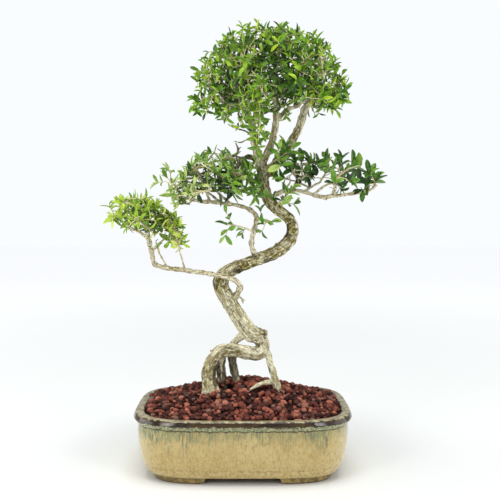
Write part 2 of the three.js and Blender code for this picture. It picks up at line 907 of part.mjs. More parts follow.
// Whether a solid passes nowhere through itself: there is material right behind each face.
function isSound(solid) {
  const triangles = trianglesOf(solid);
  return triangles.every((triangle) => {
    const behind = triangle.getMidpoint(new THREE.Vector3())
      .addScaledVector(triangle.getNormal(new THREE.Vector3()), -FACE_PROBE);
    return windingOf(behind, triangles) > 0.5;
  });
}

// Solids already in place, which later ones keep clear of.
class Crowd {
  constructor() {
    this.members = [];
  }

  add(solid, node, shoot) {
    this.members.push({ solid, node, shoot, box: solid.boundingBox() });
  }

  // Another node is kept clear of by the clearance, and this one's own pieces by its gap.
  isClear(solid, node, ownGap, shoot, besideTree = false) {
    const box = solid.boundingBox();
    return this.members.every((member) => {
      if (besideTree && member.node === "tree") return true;
      const gap = member.node === node ? ownGap : CLEARANCE;
      const apart = [0, 1, 2].some((axis) => (
        box.min[axis] > member.box.max[axis] + gap || member.box.min[axis] > box.max[axis] + gap
      ));
      if (apart || gap === 0) return true;
      if (shoot && member.shoot === shoot) {
        return member.solid.intersect(solid).volume() < LEAF_TOUCH;
      }
      return member.solid.minGap(solid, 2 * gap) >= gap;
    });
  }
}

// Points of a dome, spread evenly by the golden angle. It leans up to the right by its lean.
function domeTips({ sprays, centre, reach, lowest, turn, lean }) {
  return Array.from({ length: sprays }, (_, i) => {
    const height = 1 - ((1 - lowest) * (i + 0.5)) / sprays;
    const level = Math.sqrt(1 - height * height);
    const angle = turn + i * GOLDEN_ANGLE;
    const right = reach[0] * level * Math.cos(angle);
    return new THREE.Vector3(
      centre[0] + right,
      centre[1] + reach[1] * level * Math.sin(angle),
      centre[2] + reach[2] * height + lean * right,
    );
  });
}

// The limb point that a spray grows from: near its tip, and not crowded by other sprays.
function pickAnchor(tip, limbs, from, taken) {
  let best = null;
  for (const points of limbs) {
    const curve = curveOf(points);
    for (let t = from; t <= 1; t += ANCHOR_STEP) {
      const place = curve.getPoint(Math.min(t, 0.98));
      const crowding = taken.reduce((sum, other) => (
        sum + Math.max(0, ANCHOR_SPACING - other.distanceTo(place))
      ), 0);
      const cost = place.distanceTo(tip) + 1.5 * crowding;
      if (!best || cost < best.cost) best = { place, cost };
    }
  }
  taken.push(best.place);
  return best.place;
}

// A stem from the anchor to the pad's outline. Each new attempt bows it further.
function stemLine(anchor, tip, draw, attempt) {
  const length = anchor.distanceTo(tip);
  const bend = anchor.clone().lerp(tip, 0.5).addScaledVector(UP, STEM_RISE * length);
  const end = tip.clone();
  const loose = STEM_LOOSENESS * attempt * length;
  for (const point of [bend, end]) {
    point.x += (draw() - 0.5) * loose;
    point.y += (draw() - 0.5) * loose;
  }
  return new THREE.QuadraticBezierCurve3(anchor, bend, end).getPoints(2);
}

// A side twig that leaves the stem at a share of its length.
function sideLine(stem, share, turn, draw) {
  const [before, middle, end] = stem;
  const start = share < 0.5
    ? before.clone().lerp(middle, 2 * share)
    : middle.clone().lerp(end, 2 * share - 1);
  const direction = end.clone().sub(middle).normalize();
  const [level, other] = across(direction);
  const out = direction.clone().multiplyScalar(SIDE_TWIG_LEAN)
    .addScaledVector(level, Math.cos(turn))
    .addScaledVector(other, Math.sin(turn))
    .normalize();
  const length = THREE.MathUtils.lerp(...SIDE_TWIG_LENGTH, draw());
  return [start, start.clone().addScaledVector(out, length)];
}

// Turns a leaf a little further at each try until it is clear of everything near it.
function growLeaf(shoot, socket, draw, isClear) {
  for (let attempt = 0; attempt < LEAF_TRIES; attempt += 1) {
    const loose = LEAF_LOOSENESS[0] + LEAF_LOOSENESS[1] * attempt;
    const azimuth = socket.azimuth + (draw() - 0.5) * loose;
    const tilt = socket.tilt + (draw() - 0.5) * loose;
    const direction = shoot.direction(azimuth, tilt).addScaledVector(UP, 0.15).normalize();
    const sections = shoot.leafSections(socket, direction, THREE.MathUtils.lerp(...LEAF_SIZE, draw()));
    shoot.unwring(socket, sections);
    const solid = shoot.leafSolid(socket, sections);
    if (isSound(solid) && isClear(solid)) return { sections, solid };
  }
  return null;
}

// The sprays of the tree: first every twig, then every leaf, each clear of what is there.
class Foliage {
  constructor(tree, treeWithClearance, gravel) {
    this.treeWithClearance = treeWithClearance;
    this.crowd = new Crowd();
    this.crowd.add(tree, "tree");
    this.crowd.add(gravel, "gravel");
    this.draw = seededDraws(11);
    this.sprays = PADS.flatMap(({ name, limbs, from, dome, tips, single, colour }) => {
      const taken = [];
      const ends = dome ? domeTips(dome) : tips.map((tip) => new THREE.Vector3(...tip));
      return ends.map((tip, i) => {
        const node = `${name}_spray_${String(i + 1).padStart(2, "0")}`;
        const anchor = pickAnchor(tip, limbs, from, taken);
        return { name: node, colour, shoots: this.growTwigs(anchor, tip, node, single) };
      });
    });
    for (const { shoots } of this.sprays) {
      shoots.forEach((shoot, order) => this.growLeaves(shoot, order === 0 ? STEM_LEAVES : SIDE_LEAVES));
    }
  }

  // Tries lines for a twig until one is clear of other sprays and hardly cut by the wood.
  placeTwig(node, lineOf) {
    for (let attempt = 0; attempt < TWIG_TRIES; attempt += 1) {
      const line = lineOf(attempt);
      const whole = new Shoot(line).solid();
      const bare = biggestBody(whole.subtract(this.treeWithClearance));
      const isWhole = bare.volume() > TWIG_SHARE_LEFT * whole.volume();
      if (isWhole && this.crowd.isClear(bare, node, 0, null, true)) {
        const shoot = new Shoot(line);
        shoot.node = node;
        shoot.line = line;
        this.crowd.add(bare, node, shoot);
        return shoot;
      }
    }
    return null;
  }

  // A stem and, unless it is a single one, a side twig.
  growTwigs(anchor, tip, node, single) {
    const stem = this.placeTwig(node, (attempt) => stemLine(anchor, tip, this.draw, attempt));
    if (!stem || single) return stem ? [stem] : [];
    const turn = this.draw() * 2 * Math.PI;
    const side = this.placeTwig(node, (attempt) => (
      sideLine(stem.line, SIDE_TWIG_AT, turn + 0.9 * attempt, this.draw)
    ));
    return side ? [stem, side] : [stem];
  }

  growLeaves(shoot, count) {
    const sockets = shoot.sockets.toSorted((a, b) => b.tilt - a.tilt).slice(0, count);
    sockets.forEach((socket) => {
      const leaf = growLeaf(shoot, socket, this.draw, (solid) => (
        this.crowd.isClear(solid, shoot.node, LEAF_GAP, shoot)
      ));
      if (leaf) {
        this.crowd.add(leaf.solid, shoot.node, shoot);
        socket.leaf = leaf.sections;
      }
    });
  }
}

// ---------------------------------------------------------------- the bonsai
const MATERIALS = {
  glaze: new THREE.MeshStandardMaterial({ color: "#b7a06c", roughness: 0.25, metalness: 0 }),
  mesh: new THREE.MeshStandardMaterial({ color: "#2a2a28", roughness: 0.6, metalness: 0 }),
  soil: new THREE.MeshStandardMaterial({ color: "#2c211a", roughness: 0.95, metalness: 0 }),
  gravel: new THREE.MeshStandardMaterial({ color: "#6a3129", roughness: 0.9, metalness: 0 }),
  bark: new THREE.MeshStandardMaterial({ color: "#b9ab86", roughness: 0.85, metalness: 0 }),
};

const tree = makeTree();
const treeWithClearance = makeTree(CLEARANCE);
const rootsWithClearance = union(rootLimbs(CLEARANCE));
const filling = potFilling();
const soil = [rootsWithClearance, screenPocket(-DRAIN.x), screenPocket(DRAIN.x)].reduce(
  (rest, cut) => rest.subtract(cut),
  filling.intersect(soilBlock(0)),
);
const gravel = biggestBody(
  filling.intersect(gravelBlock()).subtract(soilBlock(CLEARANCE)).subtract(rootsWithClearance),
);

const bonsai = new THREE.Group();
bonsai.add(
  meshOf("pot", makePot(), MATERIALS.glaze),
  meshOf("drain_mesh_left", makeScreen(-DRAIN.x), MATERIALS.mesh),
  meshOf("drain_mesh_right", makeScreen(DRAIN.x), MATERIALS.mesh),
  meshOf("soil", soil, MATERIALS.soil),
  meshOf("gravel", gravel, MATERIALS.gravel),
  meshOf("tree", tree, MATERIALS.bark),
);
for (const { name, shoots, colour } of new Foliage(tree, treeWithClearance, gravel).sprays) {
  const leafGreen = new THREE.MeshStandardMaterial({ color: colour, roughness: 0.5, metalness: 0 });
  const spray = union(shoots.map((shoot) => shoot.solid())).subtract(treeWithClearance);
  bonsai.add(meshOf(name, biggestBody(spray), leafGreen));
}

export default bonsai;
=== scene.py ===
"""Serissa bonsai on exposed roots: bark, leaves, lava gravel and a glazed pot over its solids.

Sizes of the object are in millimetres, and its meshes and finishes in metres. +Z is up, and the
tree's front faces -Y.
"""

import logging
import math
import random
from collections.abc import Sequence
from dataclasses import dataclass, field
from enum import Enum
from functools import cache
from itertools import product
from typing import ClassVar

import bmesh
import bpy
import numpy as np
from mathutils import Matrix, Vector, noise
from mathutils.kdtree import KDTree


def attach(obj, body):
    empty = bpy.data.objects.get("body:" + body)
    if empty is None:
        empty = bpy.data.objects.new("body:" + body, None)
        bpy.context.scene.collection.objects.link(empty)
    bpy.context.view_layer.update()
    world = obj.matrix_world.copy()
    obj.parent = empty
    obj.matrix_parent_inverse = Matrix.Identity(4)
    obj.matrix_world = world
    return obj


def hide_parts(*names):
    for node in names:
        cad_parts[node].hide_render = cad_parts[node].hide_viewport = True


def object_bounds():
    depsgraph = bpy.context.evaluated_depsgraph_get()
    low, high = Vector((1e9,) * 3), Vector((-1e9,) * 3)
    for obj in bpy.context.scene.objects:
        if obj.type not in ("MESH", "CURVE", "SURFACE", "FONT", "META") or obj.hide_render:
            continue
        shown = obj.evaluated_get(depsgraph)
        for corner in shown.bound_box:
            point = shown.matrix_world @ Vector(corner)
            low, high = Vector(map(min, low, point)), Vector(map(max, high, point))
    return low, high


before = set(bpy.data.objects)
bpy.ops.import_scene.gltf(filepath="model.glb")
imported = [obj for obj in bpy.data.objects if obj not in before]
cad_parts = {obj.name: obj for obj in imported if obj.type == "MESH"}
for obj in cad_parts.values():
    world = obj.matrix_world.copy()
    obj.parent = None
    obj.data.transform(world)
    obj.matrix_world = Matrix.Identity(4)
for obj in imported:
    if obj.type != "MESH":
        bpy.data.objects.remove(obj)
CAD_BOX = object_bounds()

MM = 0.001
BODY = "root"
UP = np.array([0.0, 0.0, 1.0])
GOLDEN_ANGLE = 2.39996
LOG = logging.getLogger("serissa_bonsai")

Row = tuple[float, float, float, float]
Place = tuple[float, float, float]
Pair = tuple[float, float]
Faces = list[tuple[int, ...]]
Array = np.ndarray
Socket = bpy.types.NodeSocket
Material = bpy.types.Material
Piece = bpy.types.Object

# Each limb is rows of x, y, z and radius along its middle. A branch starts inside its parent.
TRUNK: list[Row] = [
    (24, -14, 129.5, 4.4), (16.5, -14, 130, 6.9), (9.5, -14, 132, 8), (3, -13, 138.5, 7.6),
    (-8, -12, 155, 7), (-16.6, -12, 168, 7.2), (-21.5, -12, 177.5, 7.2), (-21, -11.5, 186, 6.9),
    (-15, -11, 192, 6.3), (-6.5, -10, 196.5, 5.8), (4.5, -9, 200.5, 5.4), (15.5, -7, 204.5, 5.7),
    (27, -5, 208.5, 5.8), (38, -2, 214.5, 5.8), (46.5, 1, 223, 5.6), (50, 3, 233, 5.4),
    (47.5, 4, 243, 5), (39, 4, 251, 5), (30, 2, 258.5, 5.2), (23, 0, 270, 5.3), (20.5, -1, 283, 5.2),
    (20, -1, 293, 5.8), (17, -2, 302, 4.4),
]

ROOTS: dict[str, list[Row]] = {
    "left": [
        (15, -14, 127, 6), (19.5, -15, 120, 5.9), (16, -16, 113, 5.9), (7, -16, 113, 6.1),
        (-4, -17, 115.5, 6.1), (-14.5, -18, 116, 6.2), (-22.5, -19, 114, 6.4), (-28.8, -20, 106, 6.2),
        (-32.6, -21, 97, 6.2), (-33, -21, 87, 6.3), (-31.5, -22, 78, 6), (-31, -22, 64, 5),
        (-32, -21, 48, 2),
    ],
    "left_outer_strand": [
        (-33, -21, 93, 3), (-36, -22, 84, 2.6), (-37.5, -22.5, 75, 2.2), (-39.5, -22, 58, 1.1),
    ],
    "left_inner_strand": [(-31, -22, 92, 2.6), (-27, -24, 84, 2), (-24, -26, 75, 1.7), (-22, -27, 58, 1)],
    "right": [
        (16, -14, 127, 3.4), (22, -16, 117.5, 3), (25, -17, 110, 2.8), (26.5, -18, 103, 2.9),
        (29, -19, 95.5, 3.1), (31.5, -20, 87, 3.4), (34, -21, 78, 3.5), (36, -21, 64, 2.6),
        (38, -20, 50, 1.2),
    ],
    "right_rootlet": [
        (32, -20, 85, 2.3), (26, -21.5, 85.5, 2), (21, -22.5, 85, 1.8), (15.5, -23.5, 83.2, 1.5),
        (10.5, -23.5, 80.5, 1.1), (6, -21, 77, 0.8),
    ],
    "middle": [
        (4, -11, 131, 3.6), (-5, -6, 125, 3.1), (-9.8, -4, 118.5, 3.2), (-10.8, -4, 111.5, 3.7),
        (-10.5, -5, 104, 3.9), (-9.2, -6, 95, 3.9), (-7, -7, 87, 3.4), (-6, -8, 78, 3),
        (-5, -8, 60, 1.4),
    ],
    "back": [
        (-18, -15, 114, 3.8), (-21.3, -11, 106, 4.2), (-21.8, -10, 97, 4.3), (-21, -9, 88, 4.1),
        (-19, -7, 76, 3.4), (-17, -5, 58, 1.4),
    ],
}

LOW_BRANCHES: dict[str, list[Row]] = {
    "low": [
        (-10, -12, 164, 3.6), (-4.5, -13.5, 172, 3.2), (-2.8, -17, 178.5, 2.8), (-7.2, -21.5, 184, 2.5),
        (-16, -24, 187.5, 2.2), (-24, -22.5, 189, 2.1), (-36.5, -17, 191, 2.2), (-51, -12, 192.5, 2.2),
        (-62, -8, 194, 2.2), (-74, -4, 195, 2.2), (-83.5, -2, 197, 2.3), (-89, 0, 200.5, 2.3),
        (-91, 2, 209, 2.4), (-93.5, 4, 218, 2.4), (-95, 5, 226, 2.1), (-97, 6, 236, 1.8),
        (-100, 8, 246, 1.3),
    ],
    "low_outer": [
        (-94, 4.5, 222, 2), (-102.5, 6, 230, 1.7), (-110.5, 8, 233.5, 1.6), (-119.5, 10, 239.5, 1.5),
        (-128, 11, 245.5, 1.3),
    ],
    "low_front": [(-94.5, 5, 226, 1.8), (-95, -8, 234, 1.5), (-99, -18, 241, 1.3)],
    "low_back": [(-95.5, 5, 230, 1.8), (-92, 18, 238, 1.5), (-88, 27, 245, 1.3)],
    "low_inner": [(-91.5, 2.5, 211, 1.7), (-84, 0, 219, 1.4), (-76, -3, 226, 1.3), (-70, -6, 229, 1.2)],
    "low_shoot": [(-75, -4, 195, 1.5), (-79, -5, 203, 1.2), (-83, -7, 210, 1.1)],
    "low_shoot_inner": [(-57, -10, 193, 1.5), (-60, -11, 204, 1.2), (-63, -12, 214, 1.1)],
}

MIDDLE_BRANCHES: dict[str, list[Row]] = {
    "left": [
        (14, -8, 205, 2.8), (9, -9, 216, 2.5), (9.3, -8, 225, 2.4), (12, -6, 235, 2.5),
        (14, -3, 245, 2.5), (10, 0, 251, 2.3), (4, 2, 255, 2), (-6, 4, 258, 1.8), (-17, 6, 259.5, 1.9),
        (-28, 7, 261, 1.9), (-39.5, 7, 261.5, 1.8), (-48, 6, 263, 1.7), (-59, 5, 265.5, 1.4),
        (-68, 4, 268.5, 1.1),
    ],
    "left_front": [(-12, 5, 259, 1.8), (-20, -8, 266, 1.5), (-27, -20, 272, 1.3)],
    "left_back": [(-22, 6.5, 260, 1.8), (-30, 18, 267, 1.5), (-38, 27, 273, 1.3)],
    "left_riser": [(-33, 7, 261, 1.8), (-37, 4, 272, 1.5), (-42, 1, 284, 1.3), (-46, -2, 292, 1.1)],
    "left_upper": [
        (18, -2, 300, 2.8), (7, -6, 305.5, 2.3), (0.5, -8, 303.5, 2.1), (-5.5, -10, 295.5, 1.8),
        (-12, -12, 288, 1.6), (-20, -14, 282, 1.3),
    ],
    "left_upper_twig": [(1, -8, 303.5, 1.5), (-6, -7, 306, 1.1), (-17, -5, 309, 1)],
    "right": [
        (25, 0, 263, 2.6), (34, -3, 268.5, 2.3), (41, -5, 272, 2.2), (51.5, -7, 272.5, 1.9),
        (63, -9, 270, 1.9), (76.5, -10, 266, 2), (90, -10, 266.5, 1.7), (104.5, -9, 268.5, 1.6),
        (118, -8, 270.5, 1.5), (127, -7, 273, 1.3), (133, -6, 278, 1.1),
    ],
    "right_inner": [(49, -6.5, 272.5, 1.7), (54, -4, 281, 1.5), (62, -1, 287, 1.3), (69, 2, 290, 1.1)],
    "right_front": [(70, -10, 268, 1.7), (78, -20, 275, 1.5), (88, -29, 280, 1.3)],
    "right_back": [(60, -8.5, 270.5, 1.7), (70, 6, 277, 1.5), (80, 18, 282, 1.3)],
    "right_riser": [(88, -10, 266.5, 1.6), (91, -8, 276, 1.4), (96, -6, 285, 1.2)],
}

CROWN_BRANCHES: dict[str, list[Row]] = {
    "left_limb": [
        (17, -2, 297, 4), (13.5, -4, 312, 3.4), (10.5, -6, 325, 3), (8.5, -7, 339, 2.7),
        (3, -9, 350, 2.1), (-3, -10, 360, 1.8), (-8, -9, 376, 1.6), (-14, -6, 394, 1.2),
    ],
    "left_limb_out": [(2, -9, 352, 1.8), (-14, -12, 357, 1.6), (-30, -13, 364, 1.3)],
    "left_limb_front": [(8.5, -7, 338, 2.3), (12, -11, 347, 2), (12, -22, 358, 1.6), (6, -36, 368, 1.3)],
    "left_limb_back": [(9.5, -6, 332, 2.2), (6, 8, 350, 1.8), (-4, 22, 364, 1.5), (-10, 34, 376, 1.2)],
    "middle_limb": [
        (19, -2, 300, 3.8), (27, -2, 315, 3.2), (31, -2, 328, 3), (33, -2, 340, 2.9), (33, -3, 354, 2.4),
        (31, -6, 368, 2), (33, -5, 384, 1.6), (34, -2, 404, 1.2),
    ],
    "middle_limb_right": [
        (33.5, -2, 342, 2.6), (44, -1, 352.5, 2.2), (56, 0, 358, 1.7), (66, -2, 368, 1.3),
    ],
    "middle_limb_front": [(32.5, -3, 350, 2), (38, -18, 362, 1.6), (42, -34, 372, 1.2)],
    "middle_limb_back": [(33, -2, 345, 2.1), (34, 16, 360, 1.7), (34, 32, 374, 1.3)],
    "right_limb": [
        (22, 0, 287, 4.4), (33, 2, 297, 3.9), (40.5, 4, 305.5, 3.8), (48, 6, 320, 3.9),
        (55.5, 8, 333, 3.7), (59.5, 9, 344, 3.7), (63, 10, 355.5, 3.4), (68, 10, 364, 2.6),
        (70, 8, 382, 1.8), (68, 4, 398, 1.2),
    ],
    "right_limb_out": [(66, 10, 361, 2.2), (80, 8, 367, 1.7), (93, 6, 372, 1.3)],
    "right_limb_front": [(63.5, 9.5, 357, 2), (74, -8, 367, 1.6), (80, -24, 374, 1.2)],
    "right_limb_back": [(63, 10, 354, 2), (69, 25, 365, 1.6), (74, 37, 374, 1.2)],
}

# Thin twigs without leaves: three in the crown's gap, then spurs and knots lower down.
BARE_TWIGS: dict[str, list[Row]] = {
    "crown_gap": [(9.5, -6, 327, 1.3), (2, -10, 331, 1), (-7, -14, 333, 0.9), (-15, -16, 337, 0.8)],
    "crown_gap_lower": [
        (10.5, -6, 322, 1.2), (4, -11, 322, 0.9), (-2, -15, 319, 0.8), (-9, -18, 320, 0.75),
    ],
    "crown_gap_upper": [(9, -7, 335, 1.2), (3, -13, 341, 0.9), (-4, -16, 349, 0.8), (-9, -17, 356, 0.75)],
    "knotted_spur": [(-4, -9, 298, 1.4), (-6.5, -11, 306, 1), (-4.6, -12, 312, 1.2), (-7, -12, 319, 0.8)],
    "knotted_spur_side": [(-4.6, -12, 312, 1), (-1.5, -13, 315, 0.75)],
    "loop_spur": [(-5.5, -13.3, 170, 1.3), (-1.5, -15, 166, 1), (2.4, -15.5, 164, 0.75)],
    "loop_spur_low": [(-1.5, -15, 166, 0.9), (0.6, -15.5, 161, 0.75)],
    "trunk_knot": [(34, -3, 214, 3.6), (34.4, -4.4, 219.5, 2.6)],
    "trunk_knot_low": [(18, -7, 206, 3), (18.6, -8.4, 211.4, 2.2)],
    "arch_spur": [(-26, -19.5, 108, 2.2), (-30, -21, 113.5, 1.2), (-31.5, -21.5, 117, 0.8)],
    "right_lump": [(73, -10, 266.5, 1.6), (79, -11, 264.5, 1.4), (83, -11.5, 263, 1)],
    "right_thorn": [(90, -10, 267, 1), (92, -11, 274, 0.8), (91.5, -11, 281, 0.75)],
    "right_elbow": [(40, -5, 272, 1.6), (44, -6, 276, 1.1), (47, -6.5, 281, 0.8), (46, -7, 286, 0.75)],
}

MAIN_LIMBS = ("left_limb", "middle_limb", "right_limb")
SIDE_BRANCHES = ("low", "left", "left_upper", "right", "middle_limb_right", "left_limb_out")
BRANCHES = {**LOW_BRANCHES, **MIDDLE_BRANCHES, **CROWN_BRANCHES}


@dataclass(frozen=True)
class Colour:
    """A colour as it looks on a screen, each part from 0 to 255."""

    red: int
    green: int
    blue: int

    def paint(self) -> tuple[float, ...]:
        """Gives it as the linear numbers that a shader takes."""
        shares = [part / 255 for part in (self.red, self.green, self.blue)]
        return (*(s / 12.92 if s < 0.04045 else ((s + 0.055) / 1.055) ** 2.4 for s in shares), 1.0)


class Wiring:
    """Adds shader nodes to one tree and joins them. Any number may be a constant or a socket."""

    def __init__(self, tree: bpy.types.NodeTree) -> None:
        """Takes the tree to work in."""
        self.tree = tree

    def node(
        self, kind: str, inputs: dict[str | int, object] | None = None, **settings: object
    ) -> bpy.types.Node:
        """Adds one node.

        Args:
            kind: Its Blender type.
            inputs: Numbers, colours or sockets for its inputs.
            settings: Its properties.

        Returns:
            The node.
        """
        node = self.tree.nodes.new(kind)
        for name, value in settings.items():
            setattr(node, name, value)
        for key, value in (inputs or {}).items():
            if isinstance(value, Socket):
                self.tree.links.new(value, node.inputs[key])
            else:
                node.inputs[key].default_value = value.paint() if isinstance(value, Colour) else value
        return node

    def place(self) -> Socket:
        """Gives the point on the object."""
        return self.node("ShaderNodeTexCoord").outputs["Object"]

    def attribute(self, name: str) -> Socket:
        """Reads a vector that the mesh carries."""
        return self.node("ShaderNodeAttribute", attribute_name=name).outputs["Vector"]

    def split(self, vector: Socket | None = None) -> list[Socket]:
        """Takes a vector, or else the point on the object, apart into three numbers."""
        whole = self.place() if vector is None else vector
        return list(self.node("ShaderNodeSeparateXYZ", {"Vector": whole}).outputs)

    def scaled(self, vector: Socket, factors: Place) -> Socket:
        """Multiplies a vector by three factors."""
        return self.node("ShaderNodeVectorMath", {0: vector, 1: factors}, operation="MULTIPLY").outputs[0]

    def math(self, operation: str, first: object, second: object = 0.0) -> Socket:
        """Does one sum on two numbers."""
        return self.node("ShaderNodeMath", {0: first, 1: second}, operation=operation).outputs[0]

    def times(self, first: object, second: object) -> Socket:
        """Multiplies two numbers."""
        return self.math("MULTIPLY", first, second)

    def plus(self, first: object, second: object) -> Socket:
        """Adds two numbers."""
        return self.math("ADD", first, second)

    def minus(self, first: object, second: object) -> Socket:
        """Takes the second number from the first."""
        return self.math("SUBTRACT", first, second)

    def remap(
        self, value: Socket, start: object, end: object, low: float = 0.0, high: float = 1.0
    ) -> Socket:
        """Maps start to low and end to high, smoothly, and holds still outside."""
        ends = {"Value": value, "From Min": start, "From Max": end, "To Min": low, "To Max": high}
        return self.node("ShaderNodeMapRange", ends, interpolation_type="SMOOTHSTEP").outputs[0]

    def mix(self, share: object, low: object, high: object) -> Socket:
        """Mixes two colours, with the given share of the second."""
        return self.node("ShaderNodeMix", {0: share, 6: low, 7: high}, data_type="RGBA").outputs[2]

    def coats(self, colour: Socket, *coats: tuple[object, object]) -> Socket:
        """Lays colours over a first one, each with the share of it that shows."""
        for share, paint in coats:
            colour = self.mix(share, colour, paint)
        return colour

    def ramp(self, value: Socket, stops: Sequence[tuple[float, Colour]]) -> Socket:
        """Runs a number through a row of colours.

        Args:
            value: The number, from 0 to 1.
            stops: Places from 0 to 1, each with its colour.

        Returns:
            The colour.
        """
        node = self.node("ShaderNodeValToRGB", {"Fac": value})
        elements = node.color_ramp.elements
        while len(elements) < len(stops):
            elements.new(1.0)
        for element, (spot, colour) in zip(elements, stops):
            element.position = spot
            element.color = colour.paint()
        return node.outputs["Color"]

    def noise(
        self, scale: object, detail: float = 3.0, rough: float = 0.5, at: Socket | None = None
    ) -> Socket:
        """Gives cloudy noise, about 0.5 in its middle.

        Args:
            scale: How fine it is, in all directions or in each of three.
            detail: How many finer layers it has.
            rough: How strongly they show.
            at: Where it is read, or None for the point on the object.

        Returns:
            The noise.
        """
        spot = self.place() if at is None else at
        if isinstance(scale, tuple):
            spot, scale = self.scaled(spot, scale), 1.0
        inputs = {"Vector": spot, "Scale": scale, "Detail": detail, "Roughness": rough}
        return self.node("ShaderNodeTexNoise", inputs).outputs[0]

    def cloud(
        self, scale: object, start: float, end: float, low: float = 0.0, high: float = 1.0
    ) -> Socket:
        """Gives noise on the object with start to end mapped to low to high."""
        return self.remap(self.noise(scale), start, end, low, high)

    def shared(self, group: bpy.types.NodeTree, at: Socket | None, **numbers: float) -> Socket:
        """Places a shared group at a place, or else at the point on the object."""
        inputs = {"Place": self.place() if at is None else at, **numbers}
        return self.node("ShaderNodeGroup", inputs, node_tree=group).outputs[0]

    def patches(self, scale: float, low: float, high: float, at: Socket | None = None) -> Socket:
        """Places the shared soft patches, which rise where their noise goes from low to high."""
        return self.shared(effects().patches, at, Scale=scale, Low=low, High=high)

    def specks(self, scale: float, size: float, share: float, at: Socket | None = None) -> Socket:
        """Places the shared round specks, in the given share of their cells."""
        return self.shared(effects().specks, at, Scale=scale, Size=size, Share=share)

    def bump(self, height: Socket, reach: float, strength: float = 1.0) -> Socket:
        """Turns a height, of which 1 measures the reach, into a normal."""
        inputs = {"Height": height, "Distance": reach, "Strength": strength}
        return self.node("ShaderNodeBump", inputs).outputs["Normal"]


class Effects:
    """The node groups that several finishes share."""

    def __init__(self) -> None:
        """Builds soft patches, for all that is mottled, and specks, for spots, pores and bubbles."""
        wire, taken = self.start("soft_patches", Scale=100.0, Low=0.4, High=0.6)
        cloud = wire.noise(taken["Scale"], 4.0, 0.55, taken["Place"])
        self.patches = self.close(wire, wire.remap(cloud, taken["Low"], taken["High"]))
        wire, taken = self.start("small_specks", Scale=400.0, Size=0.3, Share=0.5)
        cells = wire.node("ShaderNodeTexVoronoi", {"Vector": taken["Place"], "Scale": taken["Scale"]})
        draw = wire.node("ShaderNodeSeparateColor", {"Color": cells.outputs["Color"]}).outputs[0]
        dot = wire.remap(cells.outputs["Distance"], taken["Size"], 0.0)
        kept = wire.math("LESS_THAN", draw, taken["Share"])
        self.specks = self.close(wire, wire.times(dot, kept))

    @staticmethod
    def start(name: str, **defaults: float) -> tuple[Wiring, bpy.types.NodeOutputs]:
        """Starts a group that takes a place and some numbers, and puts out one mask.

        Args:
            name: The group's name.
            defaults: The numbers' usual values.

        Returns:
            The group's wiring, and what it takes.
        """
        tree = bpy.data.node_groups.new(name, "ShaderNodeTree")
        tree.interface.new_socket("Place", in_out="INPUT", socket_type="NodeSocketVector")
        for label, default in defaults.items():
            made = tree.interface.new_socket(label, in_out="INPUT", socket_type="NodeSocketFloat")
            made.default_value = default
        tree.interface.new_socket("Mask", in_out="OUTPUT", socket_type="NodeSocketFloat")
        wire = Wiring(tree)
        return wire, wire.node("NodeGroupInput").outputs

    @staticmethod
    def close(wire: Wiring, mask: Socket) -> bpy.types.NodeTree:
        """Puts the mask out of a group."""
        wire.node("NodeGroupOutput", {"Mask": mask})
        return wire.tree


@cache
def effects() -> Effects:
    """Builds the shared node groups once."""
    return Effects()


class Finish:
    """A material with one shader, whose pattern each kind of finish wires in its own way."""

    name: str
    main: Colour
    constants: ClassVar[dict[str, float]] = {}

    def dress(self) -> Material:
        """Makes the material.

        Returns:
            The material.
        """
        material = bpy.data.materials.new(self.name)
        material.use_nodes = True
        material.diffuse_color = self.main.paint()
        shader = material.node_tree.nodes["Principled BSDF"]
        for key, value in self.constants.items():
            shader.inputs[key].default_value = value
        for key, value in self.pattern(Wiring(material.node_tree)).items():
            material.node_tree.links.new(value, shader.inputs[key])
        return material

    def pattern(self, wire: Wiring) -> dict[str, Socket]:
        """Wires the finish.

        Args:
            wire: The material's wiring.

        Returns:
            What drives the shader, by the name of its socket.
        """
        raise NotImplementedError


